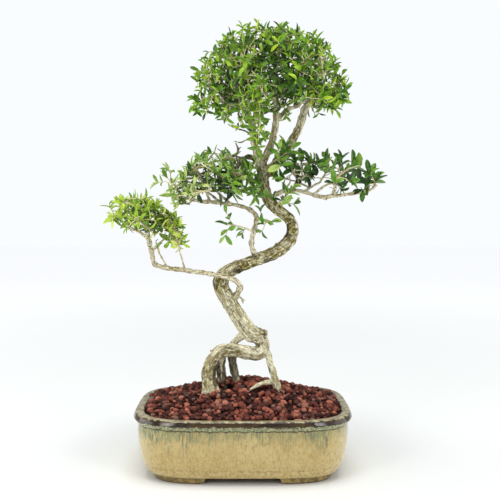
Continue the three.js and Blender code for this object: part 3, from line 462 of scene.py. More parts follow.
@dataclass(frozen=True)
class Glaze(Finish):
    """Runny ash glaze: mustard body, blue-green runs under a dark-edged rim, specks and crackle."""

    name: str = "ash_glaze"
    main: Colour = Colour(186, 162, 104)
    thin: Colour = Colour(164, 138, 78)
    pale: Colour = Colour(206, 186, 130)
    # Painted sheen: the body pales towards its left and right ends.
    ends: Colour = Colour(218, 206, 162)
    speck: Colour = Colour(112, 88, 46)
    run: Colour = Colour(78, 102, 80)
    run_grey: Colour = Colour(126, 136, 94)
    rim_green: Colour = Colour(98, 112, 84)
    rim_cream: Colour = Colour(178, 176, 128)
    edge: Colour = Colour(42, 30, 17)
    edge_warm: Colour = Colour(70, 52, 28)
    lip: Colour = Colour(186, 176, 140)
    lip_dark: Colour = Colour(146, 132, 98)
    foot: Colour = Colour(100, 88, 50)
    bare: Colour = Colour(112, 76, 54)
    half_width: float = 0.105
    half_depth: float = 0.0825
    runs_start: float = 0.033
    runs_full: float = 0.049
    shoulder: float = 0.0523
    edge_start: float = 0.0556
    lip_start: float = 0.0603
    roll_top: float = 0.0138
    foot_top: float = 0.0066
    bare_top: float = 0.0016
    constants = {"IOR": 1.52}

    def outward(self, wire: Wiring) -> tuple[Socket, Socket]:
        """Tells how far a point lies from the pot's middle, from 0 to 1, across and in depth."""
        halves = zip(wire.split(), (self.half_width, self.half_depth))
        return tuple(wire.math("DIVIDE", wire.math("ABSOLUTE", part), half) for part, half in halves)

    def line(self, wire: Wiring, level: Socket, height: float, strength: float) -> Socket:
        """Draws a soft line round the pot at a height."""
        gap = wire.math("ABSOLUTE", wire.minus(level, height))
        return wire.remap(gap, 0.0002, 0.0011, strength, 0.0)

    def crackle(self, wire: Wiring) -> Socket:
        """Draws the hairline net of the crackle.

        Args:
            wire: The material's wiring.

        Returns:
            A mask that is 1 on the lines.
        """
        place = wire.place()
        bent = wire.node("ShaderNodeTexNoise", {"Vector": place, "Scale": 90.0, "Detail": 2.0})
        inputs = {0: bent.outputs["Color"], 1: (0.006, 0.006, 0.006), 2: place}
        spot = wire.node("ShaderNodeVectorMath", inputs, operation="MULTIPLY_ADD").outputs[0]
        cells = {"Vector": spot, "Scale": 170.0}
        net = wire.node("ShaderNodeTexVoronoi", cells, feature="DISTANCE_TO_EDGE")
        return wire.remap(net.outputs["Distance"], 0.0, 0.03, 1.0, 0.0)

    def body(self, wire: Wiring) -> Socket:
        """Mixes the plain body: mustard, paler round the ends as painted sheen, with thin stretches, dashes
        and specks.

        Args:
            wire: The material's wiring.

        Returns:
            The colour.
        """
        rain = wire.noise((620, 620, 190), 2)
        dots = wire.math("MAXIMUM", wire.specks(330, 0.34, 0.4), wire.specks(820, 0.4, 0.35))
        return wire.coats(
            wire.mix(wire.times(wire.patches(30, 0.36, 0.7), 0.6), self.main, self.pale),
            # Painted sheen towards the left and right ends.
            (wire.remap(self.outward(wire)[0], 0.7, 1, 0, 0.7), self.ends),
            (wire.times(wire.patches(260, 0.42, 0.7), 0.35), self.thin),
            (wire.remap(rain, 0.55, 0.68, 0, 0.6), self.thin),
            (wire.remap(rain, 0.42, 0.3, 0, 0.5), self.pale),
            (wire.times(dots, 0.55), self.speck),
            (wire.times(self.crackle(wire), 0.28), self.speck),
        )

    def runs(self, wire: Wiring, height: Socket) -> Socket:
        """Draws the runs that hang from the rim, longest at the corners.

        Args:
            wire: The material's wiring.
            height: Height above the table.

        Returns:
            How much of the runs' colour shows.
        """
        corner = wire.remap(wire.times(*self.outward(wire)), 0.3, 0.8, 0.62, 1)
        drop = wire.cloud((90, 90, 0), 0.3, 0.7, -0.009, 0.009)
        level = wire.remap(wire.plus(height, drop), self.runs_start, self.runs_full)
        columns = wire.plus(wire.noise((720, 720, 120), 3, 0.6), wire.times(level, 0.07))
        return wire.times(wire.times(level, wire.remap(columns, 0.53, 0.6)), corner)

    def rim(self, wire: Wiring, level: Socket) -> Socket:
        """Mixes the rim: mottled green and cream low down, dark brown along its upper edge.

        Args:
            wire: The material's wiring.
            level: Height above the table, a little ragged.

        Returns:
            The colour from the rim's foot to its top.
        """
        ragged = wire.plus(level, wire.cloud(120, 0.3, 0.7, -0.0007, 0.0007))
        edge = wire.mix(wire.cloud((60, 60, 200), 0.42, 0.62), self.edge, self.edge_warm)
        lip = wire.mix(wire.cloud(150, 0.42, 0.62), self.lip, self.lip_dark)
        return wire.coats(
            wire.mix(wire.patches(560, 0.42, 0.62), self.rim_cream, self.rim_green),
            (wire.times(wire.patches(760, 0.52, 0.62), 0.75), self.edge),
            (wire.remap(ragged, self.edge_start, self.edge_start + 0.0014), edge),
            (wire.remap(level, self.lip_start, self.lip_start + 0.001), lip),
        )

    def pattern(self, wire: Wiring) -> dict[str, Socket]:
        """Wires the glaze from the feet up: bare clay, foot, rolled base, body, runs and rim.

        Args:
            wire: The material's wiring.

        Returns:
            What drives the shader.
        """
        height = wire.split()[2]
        level = wire.plus(height, wire.cloud(210, 0.3, 0.7, -0.0006, 0.0006))
        run_colour = wire.mix(wire.cloud((110, 110, 14), 0.4, 0.62), self.run, self.run_grey)
        roll = wire.remap(level, self.roll_top + 0.0004, self.roll_top - 0.0008)
        roll_colour = wire.mix(wire.cloud((420, 420, 240), 0.36, 0.62), self.thin, self.pale)
        seam = self.line(wire, level, self.roll_top + 0.0008, 0.4)
        low = wire.remap(level, self.foot_top + 0.0016, self.foot_top - 0.0004)
        foot_colour = wire.mix(wire.cloud(190, 0.4, 0.62), self.foot, self.thin)
        bare_end = self.bare_top - 0.0009
        colour = wire.coats(
            self.body(wire),
            (wire.remap(level, self.runs_full - 0.01, self.shoulder, 0, 0.3), self.run_grey),
            (wire.times(self.runs(wire, height), 0.85), run_colour),
            (wire.remap(level, self.shoulder - 0.0003, self.shoulder + 0.0006), self.rim(wire, level)),
            (self.line(wire, level, self.shoulder - 0.0004, 0.8), self.edge),
            (wire.times(roll, 0.55), roll_colour),
            (wire.times(wire.cloud((330, 330, 60), 0.44, 0.56), seam), self.speck),
            (wire.times(low, 0.85), foot_colour),
            (wire.remap(level, self.bare_top, bare_end), self.bare),
        )
        matt = wire.cloud(130, 0.35, 0.7, 0.09, 0.2)
        relief = wire.minus(wire.times(wire.noise(60, 2), 0.8), wire.times(self.crackle(wire), 0.1))
        return {
            "Base Color": colour,
            "Roughness": wire.plus(matt, wire.remap(level, self.bare_top, bare_end, 0, 0.6)),
            "Normal": wire.bump(relief, 0.00025),
        }


@dataclass(frozen=True)
class Clay(Finish):
    """Bare stoneware of the pot's underside and inside, darker than the clay itself as painted shade under
    the pot.
    """

    name: str = "bare_clay_shaded"
    # Dark reddish-brown clay, darkened further as painted shade in the gap under the pot.
    main: Colour = Colour(96, 68, 46)
    burnt: Colour = Colour(66, 44, 32)
    grit: Colour = Colour(70, 44, 32)
    constants = {"Roughness": 0.85}

    def pattern(self, wire: Wiring) -> dict[str, Socket]:
        """Wires burnt clouds and dark grit."""
        colour = wire.mix(wire.patches(90, 0.4, 0.65), self.main, self.burnt)
        colour = wire.mix(wire.times(wire.specks(700, 0.4, 0.3), 0.5), colour, self.grit)
        return {"Base Color": colour, "Normal": wire.bump(wire.noise(900), 0.0002)}


@dataclass(frozen=True)
class Bark(Finish):
    """Pale grey-cream bark, split along the limb, blotched olive and brown, with dark stains and painted
    shade, and pale places that are partly painted light.
    """

    name: str
    pale: Colour = Colour(252, 246, 212)
    main: Colour = Colour(214, 203, 162)
    brown: Colour = Colour(164, 146, 108)
    split: Colour = Colour(60, 46, 26)
    blotch: Colour = Colour(76, 64, 28)
    moss: Colour = Colour(150, 138, 50)
    # Dark brown of the stains, also laid on as painted shade.
    stain_and_shade: Colour = Colour(48, 38, 20)
    wood: Colour = Colour(134, 120, 96)
    run: float = 0.05
    constants = {"Roughness": 0.85, "IOR": 1.3}

    def pattern(self, wire: Wiring) -> dict[str, Socket]:
        """Wires the bark, which reads the limb's own coordinates from the mesh.

        Args:
            wire: The material's wiring.

        Returns:
            What drives the shader.
        """
        around = wire.attribute("bark_place")
        split, moss, stain_and_shade = wire.split(wire.attribute("bark_wear_and_shade"))
        cut, ridge, pale_and_lit = wire.split(wire.attribute("bark_relief_and_light"))
        long_patches = wire.noise((0.2, 0.2, self.run), 4, 0.6, around)
        tone = wire.plus(long_patches, wire.remap(ridge, 0, 1, -0.09, 0.11))
        fibre = wire.noise((1.5, 1.5, 0.12), 4, 0.6, around)
        # Pale places, partly painted light on the lit fronts: a paler tone and fainter fibres and splits
        # there.
        plain = wire.remap(pale_and_lit, 0, 1, 1, 0.85)
        flecks = wire.noise((0.9, 0.9, 0.4), 4, 0.65, around)
        pores = wire.specks(1.1, 0.32, 0.4, wire.scaled(around, (1, 1, 0.5)))
        film = wire.plus(wire.times(wire.patches(0.17, 0.4, 0.56, around), 0.75), 0.06)
        blots = wire.times(moss, wire.patches(0.34, 0.48, 0.54, around))
        ragged = wire.remap(wire.noise((0.7, 0.7, 0.3), 4, 0.65, around), 0.36, 0.56)
        # Stains together with painted shade on undersides, flanks, under the root arch and inside the
        # crown.
        stain_and_shade_cover = wire.times(stain_and_shade, wire.minus(1.0, wire.times(ragged, 0.3)))
        stops = ((0.33, self.brown), (0.44, self.main), (0.54, self.pale))
        colour = wire.coats(
            wire.ramp(wire.plus(tone, wire.times(pale_and_lit, 0.08)), stops),
            (wire.times(wire.remap(fibre, 0.5, 0.66, 0, 0.6), plain), self.brown),
            (wire.remap(flecks, 0.54, 0.61, 0, 0.75), self.blotch),
            (wire.times(pores, 0.5), self.split),
            (wire.times(wire.times(split, 0.85), plain), self.split),
            (wire.times(moss, film), self.moss),
            (wire.times(blots, 0.85), self.blotch),
            (wire.times(stain_and_shade_cover, 0.92), self.stain_and_shade),
            (cut, wire.mix(wire.remap(fibre, 0.4, 0.6), self.wood, self.brown)),
        )
        relief = wire.plus(fibre, wire.noise(1.7, at=around))
        return {"Base Color": colour, "Normal": wire.bump(relief, 0.0006, 0.9)}


@dataclass(frozen=True)
class TwigBark(Finish):
    """Smooth tan bark of this year's and last year's twigs."""

    name: str = "twig_bark"
    main: Colour = Colour(246, 236, 190)
    buff: Colour = Colour(234, 224, 188)
    brown: Colour = Colour(170, 154, 114)
    green: Colour = Colour(176, 186, 92)
    constants = {"Roughness": 0.7, "IOR": 1.35}

    def pattern(self, wire: Wiring) -> dict[str, Socket]:
        """Wires the twigs' bark, green on young twigs and brown on old ones.

        Args:
            wire: The material's wiring.

        Returns:
            What drives the shader.
        """
        young = wire.split(wire.attribute("leaf_tone"))[0]
        colour = wire.coats(
            wire.mix(wire.patches(120, 0.4, 0.62), self.main, self.buff),
            (wire.cloud(60, 0.52, 0.68, 0, 0.6), self.brown),
            (wire.times(wire.specks(900, 0.4, 0.35), 0.6), self.brown),
            (wire.remap(young, 0.45, 1, 0, 0.8), self.green),
            (wire.remap(young, 0.3, 0.05, 0, 0.8), self.brown),
        )
        return {"Base Color": colour, "Normal": wire.bump(wire.noise(1200), 0.0002)}


@dataclass(frozen=True)
class LeafGreen(Finish):
    """A leaf's greens: pale rib and veins, lighter underside, fresh yellow-green on new shoots, and painted
    shade on leaves deep in the pad.
    """

    name: str
    dark: Colour
    main: Colour
    bright: Colour
    fresh: Colour = Colour(148, 196, 40)
    rib: Colour = Colour(150, 182, 74)
    under: Colour = Colour(110, 146, 62)
    shade: Colour = Colour(12, 28, 6)
    constants = {"IOR": 1.42}

    def pattern(self, wire: Wiring) -> dict[str, Socket]:
        """Wires the leaf, which reads its own coordinates and tone from the mesh.

        Args:
            wire: The material's wiring.

        Returns:
            What drives the shader.
        """
        along, side, under = wire.split(wire.attribute("leaf_place"))
        tint, fresh, depth = wire.split(wire.attribute("leaf_tone"))
        tone = wire.plus(tint, wire.remap(wire.patches(330, 0.35, 0.7), 0, 1, -0.1, 0.1))
        out = wire.math("ABSOLUTE", side)
        veins = wire.math("SINE", wire.times(wire.minus(along, wire.times(out, 0.22)), 44))
        colour = wire.coats(
            wire.ramp(tone, ((0.05, self.dark), (0.5, self.main), (0.95, self.bright))),
            # Fresh yellow-green of new shoots, which also paints highlights on the crown.
            (fresh, self.fresh),
            (wire.remap(veins, 0.7, 1, 0, 0.14), self.rib),
            (wire.remap(out, 0.02, 0.12, 0.5, 0), self.rib),
            (wire.remap(out, 0.86, 1, 0, 0.2), self.rib),
            (wire.times(under, 0.7), self.under),
            # Painted shade: leaves deep inside the pad darken towards the shade colour.
            (wire.remap(depth, 0, 1, 0.8, 0), self.shade),
        )
        return {
            "Base Color": colour,
            "Roughness": wire.cloud(400, 0.3, 0.7, 0.26, 0.42),
            "Normal": wire.bump(wire.plus(wire.times(veins, 0.3), wire.noise(900)), 0.00018),
        }


@dataclass(frozen=True)
class Lava(Finish):
    """Crushed red lava: each grain has its own tone, with bubbles all over, and painted shade on low-lying
    grains, in the hollow behind the left root and on the bed between grains.
    """

    name: str = "red_lava"
    main: Colour = Colour(112, 50, 40)
    # Near-black of the bubbles, also used as painted shade.
    pore_and_shade: Colour = Colour(40, 20, 18)
    dust: Colour = Colour(176, 120, 98)
    tones: tuple[tuple[float, Colour], ...] = (
        (0.0, Colour(40, 26, 28)),
        (0.2, Colour(80, 42, 38)),
        (0.42, Colour(132, 70, 58)),
        (0.62, Colour(168, 94, 76)),
        (0.78, Colour(198, 120, 96)),
        (0.91, Colour(194, 128, 106)),
        (1.0, Colour(110, 96, 92)),
    )
    constants = {"Roughness": 0.88, "IOR": 1.3}

    def pattern(self, wire: Wiring) -> dict[str, Socket]:
        """Wires the lava, which reads each grain's tone and its painted light from the mesh.

        Args:
            wire: The material's wiring.

        Returns:
            What drives the shader.
        """
        tone, light, _ = wire.split(wire.attribute("grain_tone"))
        pores = wire.specks(1100, 0.5, 0.6)
        colour = wire.coats(
            wire.ramp(tone, self.tones),
            (wire.times(wire.patches(520, 0.4, 0.68), 0.2), self.dust),
            (wire.times(pores, 0.7), self.pore_and_shade),
            # Painted shade: each grain darkens towards the bubble colour as its painted light falls.
            (wire.remap(light, 0, 1, 0.92, 0), self.pore_and_shade),
        )
        relief = wire.minus(wire.noise(800, 4), wire.times(pores, 0.6))
        return {"Base Color": colour, "Normal": wire.bump(relief, 0.0009)}


@dataclass(frozen=True)
class Soil(Finish):
    """Dark crumbly potting soil."""

    name: str = "potting_soil"
    main: Colour = Colour(40, 30, 24)
    crumb: Colour = Colour(84, 62, 46)
    constants = {"Roughness": 0.95}

    def pattern(self, wire: Wiring) -> dict[str, Socket]:
        """Wires pale crumbs on dark soil."""
        cloud = wire.times(wire.patches(300, 0.42, 0.62), 0.5)
        crumbs = wire.math("MAXIMUM", cloud, wire.specks(450, 0.5, 0.5))
        return {
            "Base Color": wire.mix(crumbs, self.main, self.crumb),
            "Normal": wire.bump(wire.noise(500, 5), 0.002),
        }


@dataclass(frozen=True)
class ScreenPlastic(Finish):
    """Dull black plastic of the screens over the drain holes."""

    name: str = "screen_plastic"
    main: Colour = Colour(38, 38, 36)
    chalk: Colour = Colour(84, 82, 76)

    def pattern(self, wire: Wiring) -> dict[str, Socket]:
        """Wires chalky dust on the plastic."""
        dusty = wire.patches(260, 0.5, 0.75)
        return {
            "Base Color": wire.mix(wire.times(dusty, 0.6), self.main, self.chalk),
            "Roughness": wire.remap(dusty, 0, 1, 0.45, 0.8),
            "Normal": wire.bump(wire.noise(1500), 0.0001),
        }


@dataclass(frozen=True)
class StudioWhite(Finish):
    """Matt white of the floor, which whitens and glows a little far off to meet the backdrop."""

    name: str = "studio_white"
    main: Colour = Colour(240, 242, 241)
    far: Colour = Colour(252, 253, 255)
    near_radius: float = 0.5
    far_radius: float = 2.0
    constants = {"Roughness": 0.9, "Specular IOR Level": 0.1, "Emission Strength": 0.09}

    def pattern(self, wire: Wiring) -> dict[str, Socket]:
        """Wires the floor by its distance from the pot.

        Args:
            wire: The material's wiring.

        Returns:
            What drives the shader.
        """
        away = wire.node("ShaderNodeVectorMath", {0: wire.place()}, operation="LENGTH").outputs["Value"]
        share = wire.remap(away, self.near_radius, self.far_radius)
        black = Colour(0, 0, 0)
        return {
            "Base Color": wire.mix(share, self.main, self.far),
            "Emission Color": wire.mix(share, black, self.far),
        }


@dataclass
class MeshDraft:
    """Points in millimetres, faces and point marks of one piece, before it becomes an object."""

    points: list[Array] = field(default_factory=list)
    faces: Faces = field(default_factory=list)
    marks: dict[str, list[Array]] = field(default_factory=dict)
    finish_of_face: list[int] = field(default_factory=list)
    count: int = 0

    def add(self, points: Array, faces: Sequence[Sequence[int]], finish: int = 0, **marks: object) -> None:
        """Adds a stretch of surface.

        Args:
            points: Its points.
            faces: Its faces, counted from its own first point.
            finish: Which of the piece's finishes it takes.
            marks: Three numbers for each point, or for all of them, by attribute name.
        """
        self.points.append(points)
        self.faces.extend(tuple(self.count + corner for corner in face) for face in faces)
        self.finish_of_face.extend([finish] * len(faces))
        for name, values in marks.items():
            self.marks.setdefault(name, []).append(np.broadcast_to(values, (len(points), 3)))
        self.count += len(points)

    def build(self, name: str) -> Piece:
        """Makes the object, with smooth faces and the marks as attributes.

        Args:
            name: The object's name.

        Returns:
            The object, in the scene.
        """
        mesh = bpy.data.meshes.new(name)
        mesh.from_pydata(np.vstack(self.points) * MM, [], self.faces)
        mesh.polygons.foreach_set("material_index", self.finish_of_face)
        mesh.polygons.foreach_set("use_smooth", [True] * len(self.faces))
        mesh.update()
        for mark, values in self.marks.items():
            write_mark(mesh, mark, np.vstack(values))
        return show(name, mesh)


def write_mark(mesh: bpy.types.Mesh, name: str, values: Array) -> None:
    """Stores three numbers per point in a mesh, for the finishes to read."""
    attribute = mesh.attributes.new(name, "FLOAT_VECTOR", "POINT")
    attribute.data.foreach_set("vector", np.asarray(values, np.float32).ravel())


def show(name: str, data: bpy.types.ID) -> Piece:
    """Puts a mesh, a lamp or a camera in the scene as an object."""
    piece = bpy.data.objects.new(name, data)
    bpy.context.scene.collection.objects.link(piece)
    return piece


def discard(piece: Piece) -> None:
    """Takes an object and its mesh away."""
    mesh = piece.data
    bpy.data.objects.remove(piece)
    bpy.data.meshes.remove(mesh)


def applied(piece: Piece, name: str) -> Piece:
    """Turns an object with its modifiers into a plain one, and takes the first away.

    Args:
        piece: The object.
        name: The new object's name.

    Returns:
        The new object.
    """
    evaluated = piece.evaluated_get(bpy.context.evaluated_depsgraph_get())
    mesh = bpy.data.meshes.new_from_object(evaluated)
    mesh.name = name
    discard(piece)
    return show(name, mesh)


def settle(piece: Piece, nodes: Sequence[str], materials: Sequence[Material]) -> None:
    """Dresses a finished piece, rides it on the bonsai and hides the solids that it stands for.

    Args:
        piece: The finished piece.
        nodes: The solids that it stands for.
        materials: Its finishes, in the order of its faces' numbers.
    """
    finish_of_face = np.zeros(len(piece.data.polygons), np.int32)
    piece.data.polygons.foreach_get("material_index", finish_of_face)
    piece.data.materials.clear()
    for material in materials:
        piece.data.materials.append(material)
    piece.data.polygons.foreach_set("material_index", finish_of_face)
    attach(piece, BODY)
    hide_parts(*nodes)
    LOG.info("%s: %d faces", piece.name, len(piece.data.polygons))


def ring_faces(rings: int, around: int) -> Faces:
    """Lists the quads of a loft.

    Args:
        rings: How many rings of points there are.
        around: Points in each ring, counter-clockwise seen from the loft's far end.

    Returns:
        The quads, facing out.
    """
    faces = []
    for i, j in product(range(0, (rings - 1) * around, around), range(around)):
        after = (j + 1) % around
        faces.append((i + j, i + after, i + around + after, i + around + j))
    return faces


def end_faces(rings: int, around: int) -> Faces:
    """Lists the triangles that join a loft's ends to a point at each, listed after its rings.

    Args:
        rings: How many rings there are.
        around: How many corners each has.

    Returns:
        The faces.
    """
    count = rings * around
    near = [((j + 1) % around, j, count) for j in range(around)]
    top = count - around
    return near + [(top + j, top + (j + 1) % around, count + 1) for j in range(around)]


def prism(name: str, near: Array, far: Array, flip: bool = False) -> Piece:
    """Makes a block between two outlines, which flip turns if they run clockwise.

    Args:
        name: The piece's name.
        near: The corners of one end.
        far: Those of the other end.
        flip: Whether the corners run the other way round.

    Returns:
        The piece.
    """
    n = len(near)
    faces = [*ring_faces(2, n), tuple(reversed(range(n))), tuple(range(n, 2 * n))]
    draft = MeshDraft()
    draft.add(np.vstack([near, far]), [face[::-1] for face in faces] if flip else faces)
    return draft.build(name)


def unit(vector: Array) -> Array:
    """Scales vectors to a length of 1."""
    return vector / np.maximum(np.linalg.norm(vector, axis=-1, keepdims=True), 1e-9)


def ease(value: Array | float, start: float, end: float) -> Array | float:
    """Rises smoothly from 0 at the start to 1 at the end."""
    share = np.clip((value - start) / (end - start), 0.0, 1.0)
    return share * share * (3 - 2 * share)


def lengths_along(points: Array) -> Array:
    """Measures how far along its line each point lies."""
    steps = np.linalg.norm(np.diff(points, axis=0), axis=1)
    return np.concatenate([[0.0], np.cumsum(steps)])


def curve_points(rows: Array, shares: Array) -> Array:
    """Finds points on the smooth curve through rows of places, spaced evenly by row.

    Args:
        rows: The places, one per row.
        shares: Where to look, from 0 at the first row to 1 at the last.

    Returns:
        One point per share.
    """
    padded = np.vstack([2 * rows[0] - rows[1], rows, 2 * rows[-1] - rows[-2]])
    spot = np.clip(shares, 0.0, 1.0) * (len(rows) - 1)
    first = np.minimum(spot.astype(int), len(rows) - 2)
    w = (spot - first)[:, None]
    before, start, end, after = (padded[first + k] for k in range(4))
    leave = 0.5 * (end - before)
    arrive = 0.5 * (after - start)
    return (
        (2 * w**3 - 3 * w**2 + 1) * start
        + (w**3 - 2 * w**2 + w) * leave
        + (3 * w**2 - 2 * w**3) * end
        + (w**3 - w**2) * arrive
    )


def bent(start: Array, bend: Array, end: Array, w: Array | float) -> Array:
    """Finds points on the way from a start to an end that a bend pulls to itself."""
    return (1 - w) ** 2 * start + 2 * w * (1 - w) * bend + w * w * end


def across(direction: Array) -> tuple[Array, Array]:
    """Finds two directions square to a given one, the first as level as it can be.

    Args:
        direction: The direction, one unit long.

    Returns:
        The two directions.
    """
    level = np.cross(UP, direction)
    if level @ level < 0.01:
        level = np.array([1.0, 0.0, 0.0])
    level = unit(level)
    return level, np.cross(direction, level)


def round_turns(count: int) -> Array:
    """Gives angles spaced evenly round a circle."""
    return np.arange(count) * 2 * math.pi / count


def add_tube(
    draft: MeshDraft, line: Array, radii: Array, sides: int, finish: int, **marks: Sequence[float]
) -> None:
    """Adds a round tube with a rounded far end to a draft.

    Args:
        draft: The draft that takes it.
        line: Points of its middle.
        radii: Its radius at each point.
        sides: Faces round it.
        finish: Which of the piece's finishes it takes.
        marks: Three numbers for the whole tube, by attribute name.
    """
    tangents = unit(np.gradient(line, axis=0))
    level, _ = across(tangents[0])
    rings = []
    turns = round_turns(sides)
    for point, tangent, radius in zip(line, tangents, radii):
        level = unit(level - tangent * (level @ tangent))
        other = np.cross(tangent, level)
        rings.append(point + radius * (np.outer(np.cos(turns), level) + np.outer(np.sin(turns), other)))
    points = np.vstack([*rings, line[:1], line[-1:] + tangents[-1] * radii[-1] * 0.7])
    draft.add(points, ring_faces(len(rings), sides) + end_faces(len(rings), sides), finish, **marks)


@dataclass
class Pot:
    """Rounded rectangular pot with a rolled rim, four bracket feet and two drain holes.

    Its profiles are rows of inset from the rim's widest line and height above the table.
    """

    half_width: float = 105
    half_depth: float = 82.5
    height: float = 61.5
    rim_squareness: float = 3.9
    foot_squareness: float = 4.4
    plan_points: int = 216
    round_off: float = 0.9
    foot_height: float = 6
    foot_wall: float = 9
    front_gap: Pair = (40, 34.5)
    side_gap: Pair = (30, 25)
    gap_reach: float = 150
    drain_x: float = 45
    drain_radius: float = 8
    drain_points: int = 40
    crease: float = 38
    outside: tuple[Pair, ...] = (
        (18.4, 0), (16.8, 6), (14, 6.4), (12.8, 7.6), (10.2, 11.5), (7, 20), (4.6, 33), (3.7, 43.5),
        (3.7, 52), (2.6, 52.7), (1.2, 54.6), (0.2, 56.2), (0, 57), (0.3, 57.9), (1.4, 60.6), (2.4, 61.3),
        (4.2, 61.5),
    )
    inside: tuple[Pair, ...] = ((8.8, 61.2), (10, 60.1), (10.4, 48), (12.6, 28), (17, 12))

    def outline(self, inset: float, height: float, points: int) -> Array:
        """Lays out the pot's plan at one height.

        Args:
            inset: How far it lies inside the rim's widest line.
            height: Height above the table.
            points: How many points it has.

        Returns:
            The points, counter-clockwise from +X.
        """
        share = height / self.height
        power = 2 / (self.foot_squareness + (self.rim_squareness - self.foot_squareness) * share)
        turn = round_turns(points)
        c, s = np.cos(turn), np.sin(turn)
        x = (self.half_width - inset) * np.sign(c) * np.abs(c) ** power
        y = (self.half_depth - inset) * np.sign(s) * np.abs(s) ** power
        return np.column_stack([x, y, np.full(points, height)])

    def rounded(self, profile: Sequence[Pair]) -> list[Array]:
        """Rounds the corners of a profile.

        Args:
            profile: Rows of inset and height.

        Returns:
            A longer profile with an arc at each corner.
        """
        rows = [np.array(row, float) for row in profile]
        made = [rows[0]]
        for before, corner, after in zip(rows, rows[1:], rows[2:]):
            back, ahead = before - corner, after - corner
            reach = min(self.round_off, 0.45 * np.linalg.norm(back), 0.45 * np.linalg.norm(ahead))
            start, end = corner + unit(back) * reach, corner + unit(ahead) * reach
            made += [bent(start, corner, end, w) for w in (0.0, 0.33, 0.67, 1.0)]
        return [*made, rows[-1]]

    def shell(self) -> Piece:
        """Lofts the wall, rim and floor.

        Returns:
            The pot without its drain holes and the gaps between its feet.
        """
        recess = self.outside[0][0] + self.foot_wall
        under = [(recess, self.foot_height - 0.4), (recess - 0.6, 0.5), (recess - 1.2, 0)]
        profile = self.rounded([*under, *self.outside, *self.inside])
        rows = [self.outline(inset, height, self.plan_points) for inset, height in profile]
        ends = [rows[0].mean(axis=0), rows[-1].mean(axis=0)]
        walls = ring_faces(len(rows), self.plan_points)
        draft = MeshDraft()
        draft.add(np.vstack([*rows, ends]), walls + end_faces(len(rows), self.plan_points), 1)
        glazed_end = len(self.rounded([*under, *self.outside, *self.inside[:2]]))
        glazed_start = len(self.rounded([*under, *self.outside[:2]])) - 2
        for i in range(glazed_start * self.plan_points, glazed_end * self.plan_points):
            draft.finish_of_face[i] = 0
        return draft.build("pot_shell")

    def gap_cutter(self, half_widths: Pair, along_y: bool) -> Piece:
        """Makes the block that cuts the foot ring on two opposite sides.

        Args:
            half_widths: Half the gap's width at the table and under the pot.
            along_y: Whether the block runs front to back.

        Returns:
            The block.
        """
        low, high = half_widths
        shape = [(-low, -1), (low, -1), (low, 0)]
        for step in range(7):
            turn = step / 6 * math.pi / 2
            x = high + (low - high) * (1 - math.sin(turn)) * 0.9
            shape.append((x, 0.8 + (self.foot_height - 1.2) * (1 - math.cos(turn))))
        shape += [(-x, z) for x, z in reversed(shape[2:])]
        near, far = (
            np.array([(x, end, z) if along_y else (-end, x, z) for x, z in shape], float)
            for end in (-self.gap_reach, self.gap_reach)
        )
        return prism("gap_cutter", near, far, flip=True)

    def drain_cutter(self, side: int) -> Piece:
        """Makes the peg that cuts the left drain hole (-1) or the right one (1).

        Args:
            side: The side of the pot, -1 or 1.

        Returns:
            The cutter.
        """
        turn = round_turns(self.drain_points)
        ring = np.column_stack([np.cos(turn), np.sin(turn), 0 * turn]) * self.drain_radius
        ring[:, 0] += side * self.drain_x
        return prism("drain_cutter", ring + UP * 2, ring + UP * 20)

    def build(self) -> None:
        """Builds and dresses the pot."""
        finishes = [Glaze().dress(), Clay().dress()]
        shell = self.shell()
        for finish in finishes:
            shell.data.materials.append(finish)
        cutters = [self.gap_cutter(self.front_gap, True), self.gap_cutter(self.side_gap, False)]
        cutters += [self.drain_cutter(-1), self.drain_cutter(1)]
        for cutter in cutters:
            cut = shell.modifiers.new("cut", "BOOLEAN")
            cut.operation = "DIFFERENCE"
            cut.solver = "EXACT"
            cut.object = cutter
        piece = applied(shell, "glazed_pot")
        for cutter in cutters:
            discard(cutter)
        piece.data.shade_smooth()
        piece.data.set_sharp_from_angle(angle=math.radians(self.crease))
        settle(piece, ["pot"], finishes)


@dataclass(frozen=True)
class GrainLayer:
    """One layer of grains: how fine their forms are, their radii, spacing, depth and painted light, which
    is painted shade when low.
    """

    subdivisions: int
    sizes: Pair
    step: float
    drop: float = 0.0
    light: float = 1.0


